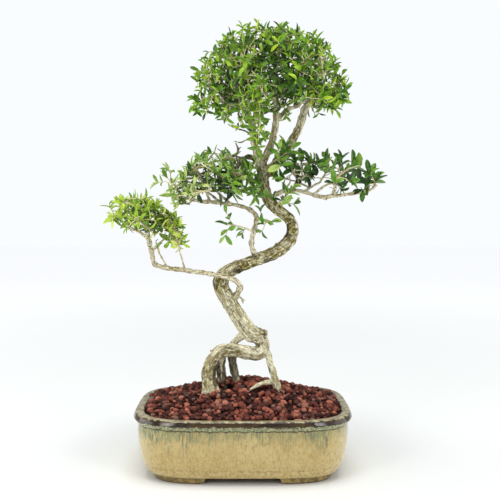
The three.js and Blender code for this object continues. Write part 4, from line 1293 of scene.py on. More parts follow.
@dataclass
class Gravel:
    """Heap of crushed lava round the roots, a little below the rim."""

    pot: Pot
    level: float = 58
    rise: float = 26
    crest_y: float = 6
    spread: Pair = (57, 42)
    jitter: float = 2.4
    inset: float = 12
    sink: float = 1.1
    layers: tuple[GrainLayer, ...] = (
        # The under layer's low light paints shade on the grains that lie deeper.
        GrainLayer(1, (1.1, 2.2), 4.3, 1.5, 0.12),
        GrainLayer(2, (1.5, 3.7), 5.0),
    )
    cuts: int = 7
    bare: Place = (-15, -11, 11)
    feet: tuple[Place, ...] = ((-31.5, -22, 7.2), (34, -21, 4.2), (-6.5, -8, 3.8), (-19.5, -8, 4.2))
    foot_grains: int = 24
    foot_sizes: Pair = (1.4, 2.6)
    base_rings: int = 20
    base_points: int = 72
    base_drop: float = 2.6
    base_depth: float = 4
    crease: float = 42

    def __post_init__(self) -> None:
        """Starts the heap."""
        self.draft = MeshDraft()
        self.draw = random.Random(21)

    def height_at(self, x: float, y: float) -> float:
        """Finds the heap's height at a place right of and behind the pot's middle."""
        out = (x / self.spread[0]) ** 2 + ((y - self.crest_y) / self.spread[1]) ** 2
        return self.level + self.rise * math.exp(-0.5 * out)

    def bareness(self, x: float, y: float) -> float:
        """Tells how far a place lies in the hollow behind the left root, from 0 to 1."""
        middle_x, middle_y, radius = self.bare
        apart = math.hypot((x - middle_x) / 1.25, y - middle_y)
        return float(1 - ease(apart, 0.45 * radius, radius))

    def sites(self, step: float) -> list[Pair]:
        """Lays out a jittered lattice over the pot's opening.

        Args:
            step: Distance between its points.

        Returns:
            Places on the heap.
        """
        half_x, half_y = self.pot.half_width - self.inset, self.pot.half_depth - self.inset
        row_step = step * math.sqrt(3) / 2
        rows, columns = int(half_y / row_step) + 1, int(half_x / step) + 1
        power = self.pot.rim_squareness
        found = []
        for row, column in product(range(-rows, rows + 1), range(-columns, columns + 1)):
            x = (column + 0.5 * (row % 2)) * step + (self.draw.random() - 0.5) * self.jitter
            y = row * row_step + (self.draw.random() - 0.5) * self.jitter
            if abs(x / half_x) ** power + abs(y / half_y) ** power < 1:
                found.append((x, y))
        return found

    def ball(self, subdivisions: int) -> tuple[Array, Faces]:
        """Makes the ball that a grain is broken from.

        Args:
            subdivisions: 1 for 20 faces, 2 for 80.

        Returns:
            Its points and faces.
        """
        shape = bmesh.new()
        bmesh.ops.create_icosphere(shape, subdivisions=subdivisions, radius=1.0)
        points = np.array([vertex.co for vertex in shape.verts])
        faces = [tuple(vertex.index for vertex in face.verts) for face in shape.faces]
        shape.free()
        return points, faces

    def break_grain(self, ball: Array, size: float) -> Array:
        """Breaks a ball into an angular grain.

        Args:
            ball: The ball's points.
            size: The grain's radius.

        Returns:
            The grain's points round its own middle.
        """
        draw = self.draw
        axes = unit(np.array([[draw.gauss(0, 1) for _ in range(3)] for _ in range(self.cuts)]))
        cuts = np.array([draw.uniform(0.62, 0.92) for _ in range(self.cuts)])
        reach = ball @ axes.T
        limits = np.where(reach > 0.05, cuts / np.maximum(reach, 0.05), 9.0).min(axis=1)
        shaped = ball * np.minimum(limits, 1.0)[:, None]
        shaped = shaped * [draw.uniform(*ends) for ends in ((0.8, 1.25), (0.8, 1.15), (0.65, 1.0))]
        shaped = shaped + np.reshape([draw.uniform(-0.05, 0.05) for _ in range(ball.size)], ball.shape)
        turn = draw.uniform(0, 2 * math.pi)
        c, s = math.cos(turn), math.sin(turn)
        return size * shaped @ np.array([[c, s, 0], [-s, c, 0], [0, 0, 1]])

    def add_layer(self, layer: GrainLayer) -> None:
        """Spreads one layer of grains over the heap.

        Args:
            layer: The layer.
        """
        ball, faces = self.ball(layer.subdivisions)
        for x, y in self.sites(layer.step):
            hollow = self.bareness(x, y)
            if self.draw.random() < 0.8 * hollow:
                continue
            size = self.draw.uniform(*layer.sizes) * (1 - 0.45 * hollow)
            z = self.height_at(x, y) - self.sink - layer.drop + self.draw.uniform(-1.4, 1.2)
            points = self.break_grain(ball, size) + np.array([x, y, z - 3.0 * hollow])
            tone = self.draw.random()
            # Painted light: a random darkness per grain, with painted shade in the hollow behind the left
            # root.
            light = self.draw.uniform(0.1, 1.0) ** 0.7 * (1 - 0.8 * hollow) * layer.light
            self.draft.add(points, faces, grain_tone=(tone, light, 0.0))

    def bank_feet(self) -> None:
        """Banks loose grains against the front of each root's foot."""
        draw = self.draw = random.Random(5)
        ball, faces = self.ball(2)
        for (x, y, radius), _ in product(self.feet, range(self.foot_grains)):
            turn = math.radians(draw.uniform(190, 350))
            out = radius + draw.uniform(0.2, 2.6)
            a, b = x + out * math.cos(turn), y + out * math.sin(turn)
            middle = np.array([a, b, self.height_at(a, b) + draw.uniform(-0.4, 3.0)])
            points = self.break_grain(ball, draw.uniform(*self.foot_sizes)) + middle
            self.draft.add(points, faces, grain_tone=(draw.random(), draw.uniform(0.3, 1.0), 0.0))

    def add_base(self) -> None:
        """Adds the closed bed of fine grit under the grains."""
        n = self.base_points
        rim = self.pot.outline(self.inset - 1.2, self.level, n)
        rows = []
        for ring in range(1, self.base_rings + 1):
            share = ring / self.base_rings
            x, y = rim[:, 0] * share, rim[:, 1] * share
            z = [self.height_at(a, b) - self.base_drop - 3.5 * self.bareness(a, b) for a, b in zip(x, y)]
            rows.append(np.column_stack([x, y, z]))
        skirt = rows[-1] - UP * self.base_depth
        top = UP * (self.height_at(0, 0) - self.base_drop)
        under = UP * (self.level - self.base_drop - self.base_depth)
        last = 1 + len(rows) * n
        faces = [(0, 1 + j, 1 + (j + 1) % n) for j in range(n)]
        faces += [tuple(1 + corner for corner in reversed(face)) for face in ring_faces(len(rows) + 1, n)]
        faces += [(last + (j + 1) % n, last + j, last + n) for j in range(n)]
        # The bed's low light paints shade between the grains.
        self.draft.add(np.vstack([top, *rows, skirt, under]), faces, grain_tone=(0.1, 0.1, 0.0))

    def build(self) -> None:
        """Builds and dresses the gravel."""
        self.add_base()
        for layer in self.layers:
            self.add_layer(layer)
        self.bank_feet()
        piece = self.draft.build("lava_gravel")
        piece.data.set_sharp_from_angle(angle=math.radians(self.crease))
        settle(piece, ["gravel"], [Lava().dress()])


@dataclass(frozen=True)
class LimbForm:
    """How a limb is drawn: its faces round, its rings per row, and how deep its lobes and knots are.

    Lobes and knots are shares of the radius. The swell is how far the bark stands out from the
    limb's named radius, which the smoothing takes back.
    """

    sides: int
    steps: int
    lobes: float
    knots: float
    swell: float


class LimbStyle(Enum):
    """The kinds of limb."""

    TRUNK = LimbForm(28, 8, 0.07, 0.03, 0.6)
    THICK_ROOT = LimbForm(28, 8, 0.08, 0.03, 0.5)
    ROOT = LimbForm(20, 6, 0.05, 0.06, 0.45)
    MAIN_LIMB = LimbForm(20, 6, 0.06, 0.08, 0.5)
    BRANCH = LimbForm(16, 5, 0.05, 0.12, 0.2)
    FORK = LimbForm(12, 5, 0.03, 0.1, -0.15)
    SPUR = LimbForm(12, 5, 0.02, 0.1, 0.0)


class Wear(Enum):
    """What a place on the bark shows."""

    MOSS = 1
    STAIN = 2
    CUT = 3
    PALE = 4


# By kind of wear, the middle, the reach and the strength of each place on the bark. The stain places are
# partly real stains and partly painted shade on undersides, flanks, under the root arch and inside the
# crown; the pale places are partly paler bark and partly painted light on the lit fronts of the roots and
# trunk.
WORN: dict[Wear, tuple[tuple[Place, Place, float], ...]] = {
    Wear.STAIN: (
        ((-27, -15, 180), (6, 8, 9), 0.6), ((8, -14, 106.5), (18, 12, 3.5), 0.6),
        ((16, -14, 141), (4, 12, 16), 0.5), ((-5, -13, 193.5), (10, 9, 4.5), 0.7),
        ((10, -10, 207.5), (11, 9, 4), 0.6), ((26, -6, 203), (16, 9, 5), 0.6),
        ((43.5, 0, 231), (4, 8, 10), 0.85), ((13, -16, 121), (7, 10, 4), 1.0),
        ((21, -14, 130), (3, 9, 9), 0.9), ((-10, -6, 96), (9, 10, 32), 1.0),
        ((-5, -10, 312), (9, 9, 14), 0.9), ((-4, -13, 328), (16, 12, 16), 0.55),
        ((-13.5, -6, 103), (3, 9, 24), 0.95), ((-17.5, -9, 92), (5.5, 9, 30), 1.0),
        ((-26, -20, 92), (6.5, 12, 26), 1.0), ((25, -19, 97), (3.5, 6, 6), 0.9),
        ((0, -8, 300), (18, 12, 16), 1.0), ((38, 0, 312), (8, 9, 34), 0.95),
    ),
    Wear.PALE: (
        ((0, -14, 150), (26, 14, 34), 1.0), ((4, -16, 116), (24, 14, 9), 0.9),
        ((-34, -22, 90), (10, 12, 34), 1.0), ((30, -20, 90), (14, 12, 28), 0.8),
        ((52, 2, 236), (9, 14, 30), 0.7),
    ),
    Wear.MOSS: (
        ((-34, -21, 92), (14, 14, 26), 0.8), ((-20, -12, 182), (15, 14, 18), 1.0),
        ((2, -9, 199), (24, 14, 14), 0.9), ((30, -4, 211), (24, 14, 14), 0.85),
        ((50, 0, 234), (16, 14, 24), 0.95), ((35, 3, 254), (20, 14, 16), 0.85),
        ((22, -1, 280), (14, 12, 28), 0.75), ((-8, -14, 158), (18, 12, 24), 0.45),
        ((8, -14, 136), (14, 12, 14), 0.35), ((-12, -18, 114), (20, 12, 10), 0.45),
        ((33, -21, 84), (8, 9, 22), 0.5), ((45, 5, 315), (20, 14, 26), 0.6),
        ((28, -2, 318), (9, 9, 24), 0.3), ((-60, -8, 194), (34, 10, 8), 0.4),
    ),
    Wear.CUT: (((24, -14, 129.5), (3.4, 7, 7), 1.0),),
}


def worn(kind: Wear, points: Array) -> Array:
    """Tells how strongly a kind of wear shows at each point, from 0 to 1.

    Args:
        kind: The kind of wear.
        points: The points, one row each.

    Returns:
        Its strength at each of them.
    """
    cover = np.zeros(len(points))
    for middle, reach, strength in WORN[kind]:
        apart = np.linalg.norm((points - np.array(middle)) / np.array(reach), axis=1)
        cover = np.maximum(cover, strength * (1 - ease(apart, 0.5, 1.0)))
    return cover


@dataclass
class Limb:
    """One root, trunk or branch: a round line whose radius changes from row to row."""

    rows: Array
    form: LimbForm

    @classmethod
    def made(cls, rows: Sequence[Row], style: LimbStyle) -> "Limb":
        """Makes a limb from its rows."""
        return cls(np.array(rows, float), style.value)

    def frames(self, steps: int) -> tuple[Array, ...]:
        """Walks along the limb.

        Args:
            steps: Stops for each row.

        Returns:
            Middles, tangents, two square directions, radii and turns of the lobes.
        """
        shares = np.linspace(0, 1, steps * (len(self.rows) - 1) + 1)
        middles = curve_points(self.rows[:, :3], shares)
        tangents = unit(np.gradient(middles, axis=0))
        spots = shares * (len(self.rows) - 1)
        radii = np.interp(spots, np.arange(len(self.rows)), self.rows[:, 3])
        along = lengths_along(middles) + 10 * self.rows[0, 0]
        radii = radii * (1 + self.form.knots * (np.cos(0.52 * along) + np.cos(0.83 * along + 2)))
        normals = np.empty_like(middles)
        normal = np.array([0.0, 1.0, 0.0])
        for i, tangent in enumerate(tangents):
            normal = unit(normal - tangent * (tangent @ normal))
            normals[i] = normal
        return middles, tangents, normals, np.cross(tangents, normals), radii, spots * 0.45

    def add_to(self, draft: MeshDraft) -> None:
        """Adds the limb's closed tube to a draft.

        Args:
            draft: The draft that takes it.
        """
        middles, tangents, normals, sides, radii, winds = self.frames(self.form.steps)
        turns = round_turns(self.form.sides)
        lobes = np.cos(3 * turns + winds[:, None]) + 0.7 * np.cos(5 * turns - 1.6 * winds[:, None])
        reach = (radii[:, None] + self.form.swell) * (1 + self.form.lobes * lobes)
        out = normals[:, None] * np.cos(turns)[:, None] + sides[:, None] * np.sin(turns)[:, None]
        rings = middles[:, None] + out * reach[..., None]
        ends = np.array([middles[0], middles[-1] + tangents[-1] * 0.5 * radii[-1]])
        shape = (len(middles), self.form.sides)
        draft.add(np.vstack([rings.reshape(-1, 3), ends]), ring_faces(*shape) + end_faces(*shape))


@dataclass
class Wood:
    """The tree's own wood, grown as one: exposed roots, the bent trunk and its branches."""

    trunk_voxel: float = 0.62
    branch_voxel: float = 0.58
    split_depth: float = 0.75
    smoothing: int = 3

    def trunk_limbs(self) -> list[Limb]:
        """Lists the trunk, the roots and the three main limbs of the crown.

        Returns:
            The limbs, the trunk first.
        """
        limbs = [Limb.made(TRUNK, LimbStyle.TRUNK)]
        for name, rows in ROOTS.items():
            limbs.append(Limb.made(rows, LimbStyle.THICK_ROOT if name == "left" else LimbStyle.ROOT))
        return limbs + [Limb.made(CROWN_BRANCHES[name], LimbStyle.MAIN_LIMB) for name in MAIN_LIMBS]

    def branch_limbs(self) -> list[Limb]:
        """Lists every thinner branch, with the bare and dead twigs.

        Returns:
            The limbs.
        """
        limbs = []
        for name, rows in BRANCHES.items():
            if name not in MAIN_LIMBS:
                style = LimbStyle.BRANCH if name in SIDE_BRANCHES else LimbStyle.FORK
                limbs.append(Limb.made(rows, style))
        return limbs + [Limb.made(rows, LimbStyle.SPUR) for rows in BARE_TWIGS.values()]

    def fuse(self, limbs: Sequence[Limb], name: str, voxel: float) -> Piece:
        """Grows limbs together into one closed skin.

        Args:
            limbs: The limbs, each starting inside its parent.
            name: The object's name.
            voxel: Size of the finest detail kept.

        Returns:
            The fused object.
        """
        draft = MeshDraft()
        for limb in limbs:
            limb.add_to(draft)
        raw = draft.build(name + "_raw")
        skin = raw.modifiers.new("skin", "REMESH")
        skin.mode = "VOXEL"
        skin.voxel_size = voxel * MM
        return applied(raw, name)

    def bark_coordinates(self, points: Array, limbs: Sequence[Limb]) -> tuple[Array, Array]:
        """Finds where each point lies on its limb.

        Args:
            points: Points of the skin.
            limbs: The limbs under it.

        Returns:
            Two offsets from the limb's middle and the length along it per point, and the radii.
        """
        rows = []
        for order, limb in enumerate(limbs):
            middles, _, normals, sides, radii, _ = limb.frames(10)
            along = lengths_along(middles) + 137.0 * order
            rows.append(np.column_stack([middles, normals, sides, radii, along]))
        axis = np.vstack(rows)
        tree = KDTree(len(axis))
        for i, middle in enumerate(axis[:, :3]):
            tree.insert(middle, i)
        tree.balance()
        near = (tree.find_n(point, 5) for point in points)
        owner = axis[[min(hits, key=lambda hit: hit[2] - axis[hit[1], 9])[1] for hits in near]]
        offset = points - owner[:, :3]
        first = (offset * owner[:, 3:6]).sum(axis=1)
        second = (offset * owner[:, 6:9]).sum(axis=1)
        return np.column_stack([first, second, owner[:, 10]]), owner[:, 9]

    def split_bark(self, places: Array, radii: Array) -> tuple[Array, Array]:
        """Works out the bark's splits and plates.

        Args:
            places: Bark coordinates of the points.
            radii: The limb's radius at each point.

        Returns:
            How deep each point lies in a split, from 0 to 1, and its height on a plate.
        """
        splits, plates = np.empty(len(places)), np.empty(len(places))
        for i, (first, second, along) in enumerate(places):
            bend = noise.noise(Vector((first * 0.2, second * 0.2, along * 0.05)))
            wide = noise.noise(Vector((first * 0.33 + bend, second * 0.33, along * 0.062)))
            fine = noise.noise(Vector((first * 0.75, second * 0.75 + 9.0, along * 0.13)))
            splits[i] = max(math.exp(-((wide / 0.075) ** 2)), 0.6 * math.exp(-((fine / 0.07) ** 2)))
            plates[i] = noise.noise(Vector((first * 0.5, second * 0.5, along * 0.22 + 40.0)))
        strength = ease(radii, 1.4, 4.5)
        return splits * (0.25 + 0.75 * strength), plates * (0.3 + 0.7 * strength)

    def smooth(self, mesh: bpy.types.Mesh) -> tuple[Array, Array]:
        """Smooths a skin.

        Args:
            mesh: The skin.

        Returns:
            Its points in millimetres, and its normals.
        """
        count = len(mesh.vertices)
        flat = np.empty(count * 3, np.float32)
        mesh.vertices.foreach_get("co", flat)
        points = flat.reshape(-1, 3).astype(float) / MM
        ends = np.empty(len(mesh.edges) * 2, np.int32)
        mesh.edges.foreach_get("vertices", ends)
        one, two = ends.reshape(-1, 2).T
        neighbours = np.bincount(ends, minlength=count)[:, None]
        for _ in range(self.smoothing):
            total = np.zeros_like(points)
            for axis in range(3):
                total[:, axis] += np.bincount(one, points[two, axis], count)
                total[:, axis] += np.bincount(two, points[one, axis], count)
            points += 0.5 * (total / neighbours - points)
        self.place(mesh, points)
        mesh.vertices.foreach_get("normal", flat)
        return points, flat.reshape(-1, 3).astype(float)

    @staticmethod
    def place(mesh: bpy.types.Mesh, points: Array) -> None:
        """Moves a skin's points."""
        mesh.vertices.foreach_set("co", (points * MM).astype(np.float32).ravel())
        mesh.update()

    def carve(self, mesh: bpy.types.Mesh, limbs: Sequence[Limb]) -> None:
        """Smooths the skin, carves the bark and stores what the finish reads.

        Args:
            mesh: The fused skin.
            limbs: The limbs under it.
        """
        points, normals = self.smooth(mesh)
        places, radii = self.bark_coordinates(points, limbs)
        splits, plates = self.split_bark(places, radii)
        # The stain places carry painted shade as well as real stains.
        moss, stain_and_shade, cut, pale = (worn(kind, points) for kind in Wear)
        ragged = np.array([noise.noise(Vector(point * 0.35)) for point in points])
        stain_and_shade = ease(stain_and_shade + 0.45 * ragged * (stain_and_shade > 0.02), 0.3, 0.62)
        cut = cut * ease(normals[:, 0], 0.55, 0.9)
        depth = self.split_depth * np.minimum(1.0, radii / 5) * (1 - cut)
        self.place(mesh, points + normals * (depth * (0.35 * plates - splits))[:, None])
        write_mark(mesh, "bark_place", places)
        write_mark(mesh, "bark_wear_and_shade", np.column_stack([splits * (1 - cut), moss, stain_and_shade * (1 - cut)]))
        # The pale places stored here are partly painted light.
        write_mark(mesh, "bark_relief_and_light", np.column_stack([cut, 0.5 + plates, pale]))
        mesh.shade_smooth()

    def build(self) -> None:
        """Builds and dresses the wood."""
        pale, main, brown = Colour(244, 237, 206), Colour(206, 192, 152), Colour(138, 118, 80)
        trunk_bark, branch_bark = Bark("trunk_bark"), Bark("branch_bark", pale, main, brown, run=0.22)
        jobs = (
            ("trunk_and_roots", self.trunk_limbs(), self.trunk_voxel, trunk_bark.dress()),
            ("branches", self.branch_limbs(), self.branch_voxel, branch_bark.dress()),
        )
        for name, limbs, voxel, bark in jobs:
            piece = self.fuse(limbs, name, voxel)
            self.carve(piece.data, limbs)
            settle(piece, ["tree"], [bark])


class LeafShape(Enum):
    """A leaf's outline: the power that moves its widest place, and how full it is."""

    SLENDER = (0.95, 0.8)
    BROAD = (1.3, 0.62)


class LeafForm:
    """A leaf of length 1 along +X: folded at its rib, arched, and thin at its edges."""

    stations: tuple[float, ...] = (0.0, 0.12, 0.3, 0.5, 0.72, 0.91)
    thickness: float = 0.014
    fold: float = 0.18
    arch: float = 0.18
    middle: int = 8

    def __init__(self, shape: LeafShape) -> None:
        """Works out the points, marks and faces once for every leaf of a shape.

        Args:
            shape: The leaf's outline.
        """
        power, fullness = shape.value
        points, marks = [], []
        for along in self.stations:
            half = max(0.05, 0.5 * max(0.0, math.sin(math.pi * along**power)) ** fullness)
            droop = -self.arch * along * along
            lift = self.fold * half
            points += [
                (along, half, droop + lift), (along, 0.0, droop + self.thickness),
                (along, -half, droop + lift), (along, 0.0, droop - self.thickness),
            ]
            marks += [(along, 1.0, 0.0), (along, 0.0, 0.0), (along, -1.0, 0.0), (along, 0.0, 1.0)]
        rings = len(self.stations)
        last, tip = 4 * rings - 4, 4 * rings
        self.points = np.array([*points, (1.0, 0.0, -self.arch)])
        self.marks = np.array([*marks, (1.0, 0.0, 0.0)])
        self.faces = ring_faces(rings, 4)
        self.faces += [(last + j, last + (j + 1) % 4, tip) for j in range(4)]
        self.faces.append((3, 2, 1, 0))


@dataclass(frozen=True)
class Dome:
    """The rounded outline that a pad's stems reach for; its lean lifts its right side."""

    stems: int
    centre: Place
    reach: Place
    lowest: float
    turn: float
    lean: float = 0.0

    def tips(self, count: int, scale: float = 1.0, turn: float = 0.0) -> list[Array]:
        """Spreads points evenly over the dome by the golden angle.

        Args:
            count: How many points.
            scale: Size of the dome, as a share of its own.
            turn: How far they are turned round the dome.

        Returns:
            The points.
        """
        points = []
        for i in range(count):
            height = 1 - ((1 - self.lowest) * (i + 0.5)) / count
            level = math.sqrt(1 - height * height)
            angle = self.turn + turn + i * GOLDEN_ANGLE
            way = np.array([level * math.cos(angle), level * math.sin(angle), height])
            out = np.array(self.reach) * way
            out[2] += self.lean * out[0]
            points.append(np.array(self.centre) + scale * out)
        return points

    def outward(self, point: Array, margin: float = 0.0) -> Array:
        """Gives the way from the middle to a point, of length 1 at the outline plus a margin."""
        return (point - np.array(self.centre)) / (np.array(self.reach) + margin)


@dataclass(frozen=True)
class LoneTip:
    """The end of a stem that grows by itself: its leaves' size, its shoots and how far they spread."""

    place: Place
    size: float
    shoots: int
    spread: float


@dataclass(frozen=True)
class Pad:
    """One leafy mass: the limbs that carry it, its outline, its leaves and how dense it is."""

    name: str
    limbs: tuple[str, ...]
    start: float
    finish: LeafGreen
    leaf_length: Pair
    leaf_width: float
    broad: float
    dome: Dome | None = None
    extra_tips: tuple[Place, ...] = ()
    lone_tips: tuple[LoneTip, ...] = ()
    shoots: int = 0
    shells: tuple[Pair, ...] = ((1.0, 0.5), (0.8, 0.3), (0.58, 0.2))
    shell_turn: float = 0.9
    tip_pairs: int = 3
    upward: float = 0.14
    twig_youth: float = 1.0
    leafy: float = 0.75
    pair_step: float = 4.6
    bare_twigs: int = 3
    tint: float = 0.5
    fresh: float = 0.06

    def depth(self, tip: Array) -> float:
        """Tells how far out in its pad a leaf lies, from 0 deep inside to 1 at the outline."""
        if self.dome is None:
            return 0.8
        return float(ease(np.linalg.norm(self.dome.outward(tip, 8)), 0.45, 0.95))


@dataclass
class Crowd:
    """Middles of the leaves in place, which later leaves keep a little away from."""

    apart: float = 2.5
    cells: dict[tuple[int, ...], list[Array]] = field(default_factory=dict)

    def take(self, middle: Array) -> bool:
        """Takes a place if nothing is too near.

        Args:
            middle: The leaf's middle.

        Returns:
            Whether the place was free.
        """
        cell = tuple(int(part // self.apart) for part in middle)
        for step in product((-1, 0, 1), repeat=3):
            for other in self.cells.get(tuple(map(sum, zip(cell, step))), ()):
                if np.linalg.norm(other - middle) < self.apart:
                    return False
        self.cells.setdefault(cell, []).append(middle)
        return True


# Patches of foliage: the middle, how far each reaches, and how many times deeper than wide it is.
# Fresh places: new yellow-green shoots, and three on top of the crown (z 424, 412 and 388) that paint
# highlights.
FRESH_AND_LIT_PLACES = (
    ((10, -42, 364), 26, 1), ((8, -30, 336), 20, 1), ((43, -20, 424), 10, 1),
    ((72, -15, 412), 10, 1), ((86, -15, 388), 11, 1), ((-96, -12, 244), 24, 1),
)
OLD_PLACES = (((-6, -10, 275), 36, 1), ((38, -44, 376), 27, 1), ((88, -12, 362), 16, 1))
HOLLOWS = (
    ((-52, 0, 432), 38, 3), ((-34, 0, 448), 30, 3), ((29, 0, 447), 16, 4), ((-36, 0, 370), 8, 8),
    ((-33, 0, 385), 7, 8), ((-22, 0, 358), 8, 8), ((-26, 0, 397), 6, 8), ((-14, 0, 350), 7, 8),
    ((42, 0, 285), 8, 8), ((-47, -8, 277), 8, 4), ((-27, -10, 278), 7, 4),
)


def inside(places: Sequence[tuple[Place, float, float]], tip: Array) -> float:
    """Tells how far inside any of some patches a leaf's tip lies.

    Args:
        places: The patches.
        tip: The leaf's tip.

    Returns:
        From 0 outside all of them to 1 well inside one.
    """
    most = 0.0
    for middle, reach, deep in places:
        gap = np.linalg.norm((tip - np.array(middle)) / np.array([1, deep, 1]))
        most = max(most, 1 - float(ease(gap, 0.4 * reach, reach)))
    return most


@dataclass
class Spray:
    """One spray: a stem, given by its start, bend and end, and the shoots and leaves on it."""

    foliage: "Foliage"
    pad: Pad
    node: str
    line: Array
    size: float
    shoot_tips: list[Array] = field(default_factory=list)
    draft: MeshDraft = field(default_factory=MeshDraft)
    stem_points: int = 9
    leafy_from: int = 4
    leaving_shares: tuple[float, ...] = (0.2, 0.35, 0.5, 0.65, 0.8, 0.93)
    stem_radii: Pair = (1.1, 0.7)
    shoot_radii: Pair = (0.62, 0.4)
    twig_radii: Pair = (0.62, 0.42)
    tip_pairs: tuple[Pair, ...] = ((0.42, 0.74), (0.85, 0.96), (1.2, 1.0))
    crease: float = 60

    def at(self, share: float) -> tuple[Array, Array]:
        """Finds a place on the stem, and the direction there."""
        start, bend, end = self.line
        direction = unit((1 - share) * (bend - start) + share * (end - bend))
        return bent(start, bend, end, np.array([share])), direction

    def add_twig(self, bends: Sequence[Array], count: int, radii: Pair) -> Array:
        """Adds one bent twig.

        Args:
            bends: Its start, its bend and its end.
            count: How many points its middle has.
            radii: Its radius at its start and end.

        Returns:
            Its middle.
        """
        line = bent(*bends, np.linspace(0, 1, count)[:, None])
        spots = np.arange(count)
        waves = [np.sin(2.1 * spots + bends[2][0]), np.cos(1.7 * spots), np.sin(2.9 * spots)]
        wobble = 0.25 * np.column_stack(waves)
        line = line + wobble * np.minimum(1.0, np.minimum(spots, spots[::-1]))[:, None]
        tone = (self.pad.twig_youth * self.foliage.draw.random(), 0, 0)
        add_tube(self.draft, line, np.linspace(*radii, count), 5, 1, leaf_place=(0, 0, 0), leaf_tone=tone)
        return line

    def leaving_cost(self, share: float, tip: Array) -> float:
        """Rates a share of the stem for a shoot to leave at: near its tip and looking forward.

        Args:
            share: How far along the stem the shoot leaves.
            tip: Where the shoot ends.

        Returns:
            The cost, least at the best place.
        """
        place, heading = self.at(share)
        way = tip - place
        forward = float(unit(way) @ heading)
        return np.linalg.norm(way) * (1.25 - 0.5 * forward) + 3.0 * self.foliage.draw.random()

    def grow_shoot(self, tip: Array) -> None:
        """Grows one leafy shoot from the stem.

        Args:
            tip: Where the shoot ends.
        """
        root_share = min(self.leaving_shares, key=lambda share: self.leaving_cost(share, tip))
        root, heading = self.at(root_share)
        if np.linalg.norm(tip - root) < 3:
            root, heading = self.at(max(0.0, root_share - 0.3))
        reach = np.linalg.norm(tip - root)
        bend = root + 0.45 * reach * unit(0.6 * heading + 0.55 * unit(tip - root) + 0.12 * UP)
        line = self.add_twig((root, bend, tip), max(3, int(reach / 4) + 2), self.shoot_radii)
        self.dress_shoot(line, reach)

    def dress_shoot(self, line: Array, reach: float) -> None:
        """Sets the pairs of leaves on a shoot, each pair square to the last.

        Args:
            line: The shoot's middle.
            reach: Its length.
        """
        axis = unit(unit(line[-1] - line[-2]) + 0.25 * UP)
        axes = (axis, *across(axis))
        turn = self.foliage.draw.uniform(0, math.pi)
        order = 0
        for tilt, share in self.tip_pairs[: self.pad.tip_pairs]:
            self.add_pair(line[-1] - axis * (0.9 * order), axes, turn + order * math.pi / 2, tilt, share)
            order += 1
        back = self.pad.pair_step
        spots = np.arange(len(line))
        while back < self.pad.leafy * reach:
            spot = (1 - back / reach) * (len(line) - 1)
            root = np.array([np.interp(spot, spots, line[:, k]) for k in range(3)])
            self.add_pair(root, axes, turn + order * math.pi / 2, 1.15, 0.92)
            back += self.pad.pair_step
            order += 1

    def add_pair(
        self, root: Array, axes: tuple[Array, Array, Array], turn: float, tilt: float, share: float
    ) -> None:
        """Adds two leaves opposite each other.

        Args:
            root: Where they leave the shoot.
            axes: The shoot's direction and two square to it.
            turn: Where the first leaf points round the shoot.
            tilt: How far they lean out from the shoot.
            share: Their size, as a share of the spray's full leaf.
        """
        axis, level, other = axes
        draw = self.foliage.draw
        for half_turn in (0.0, math.pi):
            angle = turn + half_turn + draw.uniform(-0.25, 0.25)
            lean = tilt + draw.uniform(-0.25, 0.25)
            out = math.cos(angle) * level + math.sin(angle) * other
            heading = unit(math.cos(lean) * axis + math.sin(lean) * out + self.pad.upward * UP)
            length = share * self.size * draw.uniform(*self.pad.leaf_length)
            self.add_leaf(root, heading, unit(0.75 * axis + 0.45 * UP), length)

    def add_leaf(self, root: Array, heading: Array, lift: Array, length: float) -> None:
        """Adds one leaf if it has room.

        Args:
            root: Where it leaves the shoot.
            heading: Where it points.
            lift: The side that its upper face looks to.
            length: Its length.
        """
        draw = self.foliage.draw
        old = inside(OLD_PLACES, root)
        length *= 1 + 0.3 * old
        side = np.cross(lift, heading)
        if np.linalg.norm(side) < 0.15:
            side = np.cross(UP + 0.2 * lift, heading)
        side = unit(side)
        top = np.cross(heading, side)
        roll = draw.uniform(-0.5, 0.5)
        c, s = math.cos(roll), math.sin(roll)
        side, top = c * side + s * top, c * top - s * side
        outline = LeafShape.BROAD if draw.random() < self.pad.broad else LeafShape.SLENDER
        width = length * self.pad.leaf_width * draw.uniform(0.85, 1.15)
        shape = np.array([length, width, length * draw.uniform(0.7, 1.9)])
        form = self.foliage.forms[outline]
        points = root + (form.points * shape) @ np.array([heading, side, top])
        if self.foliage.has_room(points[form.middle], points):
            tint = np.clip(self.pad.tint - 0.35 * old + draw.gauss(0, 0.34) * (1 - 0.3 * old), 0, 1)
            # The third number is the leaf's depth in its pad, which the finish turns into painted shade.
            tone = (tint, self.foliage.freshness_and_highlight(self.pad, points[-1]), self.pad.depth(points[-1]))
            self.draft.add(points, form.faces, 0, leaf_place=form.marks, leaf_tone=tone)

    def add_bare_twigs(self) -> None:
        """Adds the thin leafless twigs that loop among a dome's leaves."""
        draw, dome = self.foliage.draw, self.pad.dome
        for _ in range(self.pad.bare_twigs if dome else 0):
            root, _ = self.at(draw.uniform(0.25, 0.85))
            tip = self.line[2] + self.foliage.jolt(0.24) * np.array(dome.reach)
            out = dome.outward(tip)
            tip = tip - out * np.array(dome.reach) * max(0.0, 1 - 1.02 / np.linalg.norm(out))
            bend = 0.5 * (root + tip) + self.foliage.jolt(9)
            self.add_twig((root, bend, tip), self.stem_points, self.twig_radii)

    def build(self, finishes: Sequence[Material]) -> None:
        """Builds and dresses the spray.

        Args:
            finishes: Those of its leaves and its twigs.
        """
        line = self.add_twig(self.line, self.stem_points, self.stem_radii)[self.leafy_from :]
        self.dress_shoot(line, float(np.linalg.norm(line[-1] - line[0])))
        for tip in self.shoot_tips:
            self.grow_shoot(tip)
        self.add_bare_twigs()
        piece = self.draft.build("leafy_" + self.node)
        piece.data.set_sharp_from_angle(angle=math.radians(self.crease))
        settle(piece, [self.node], finishes)


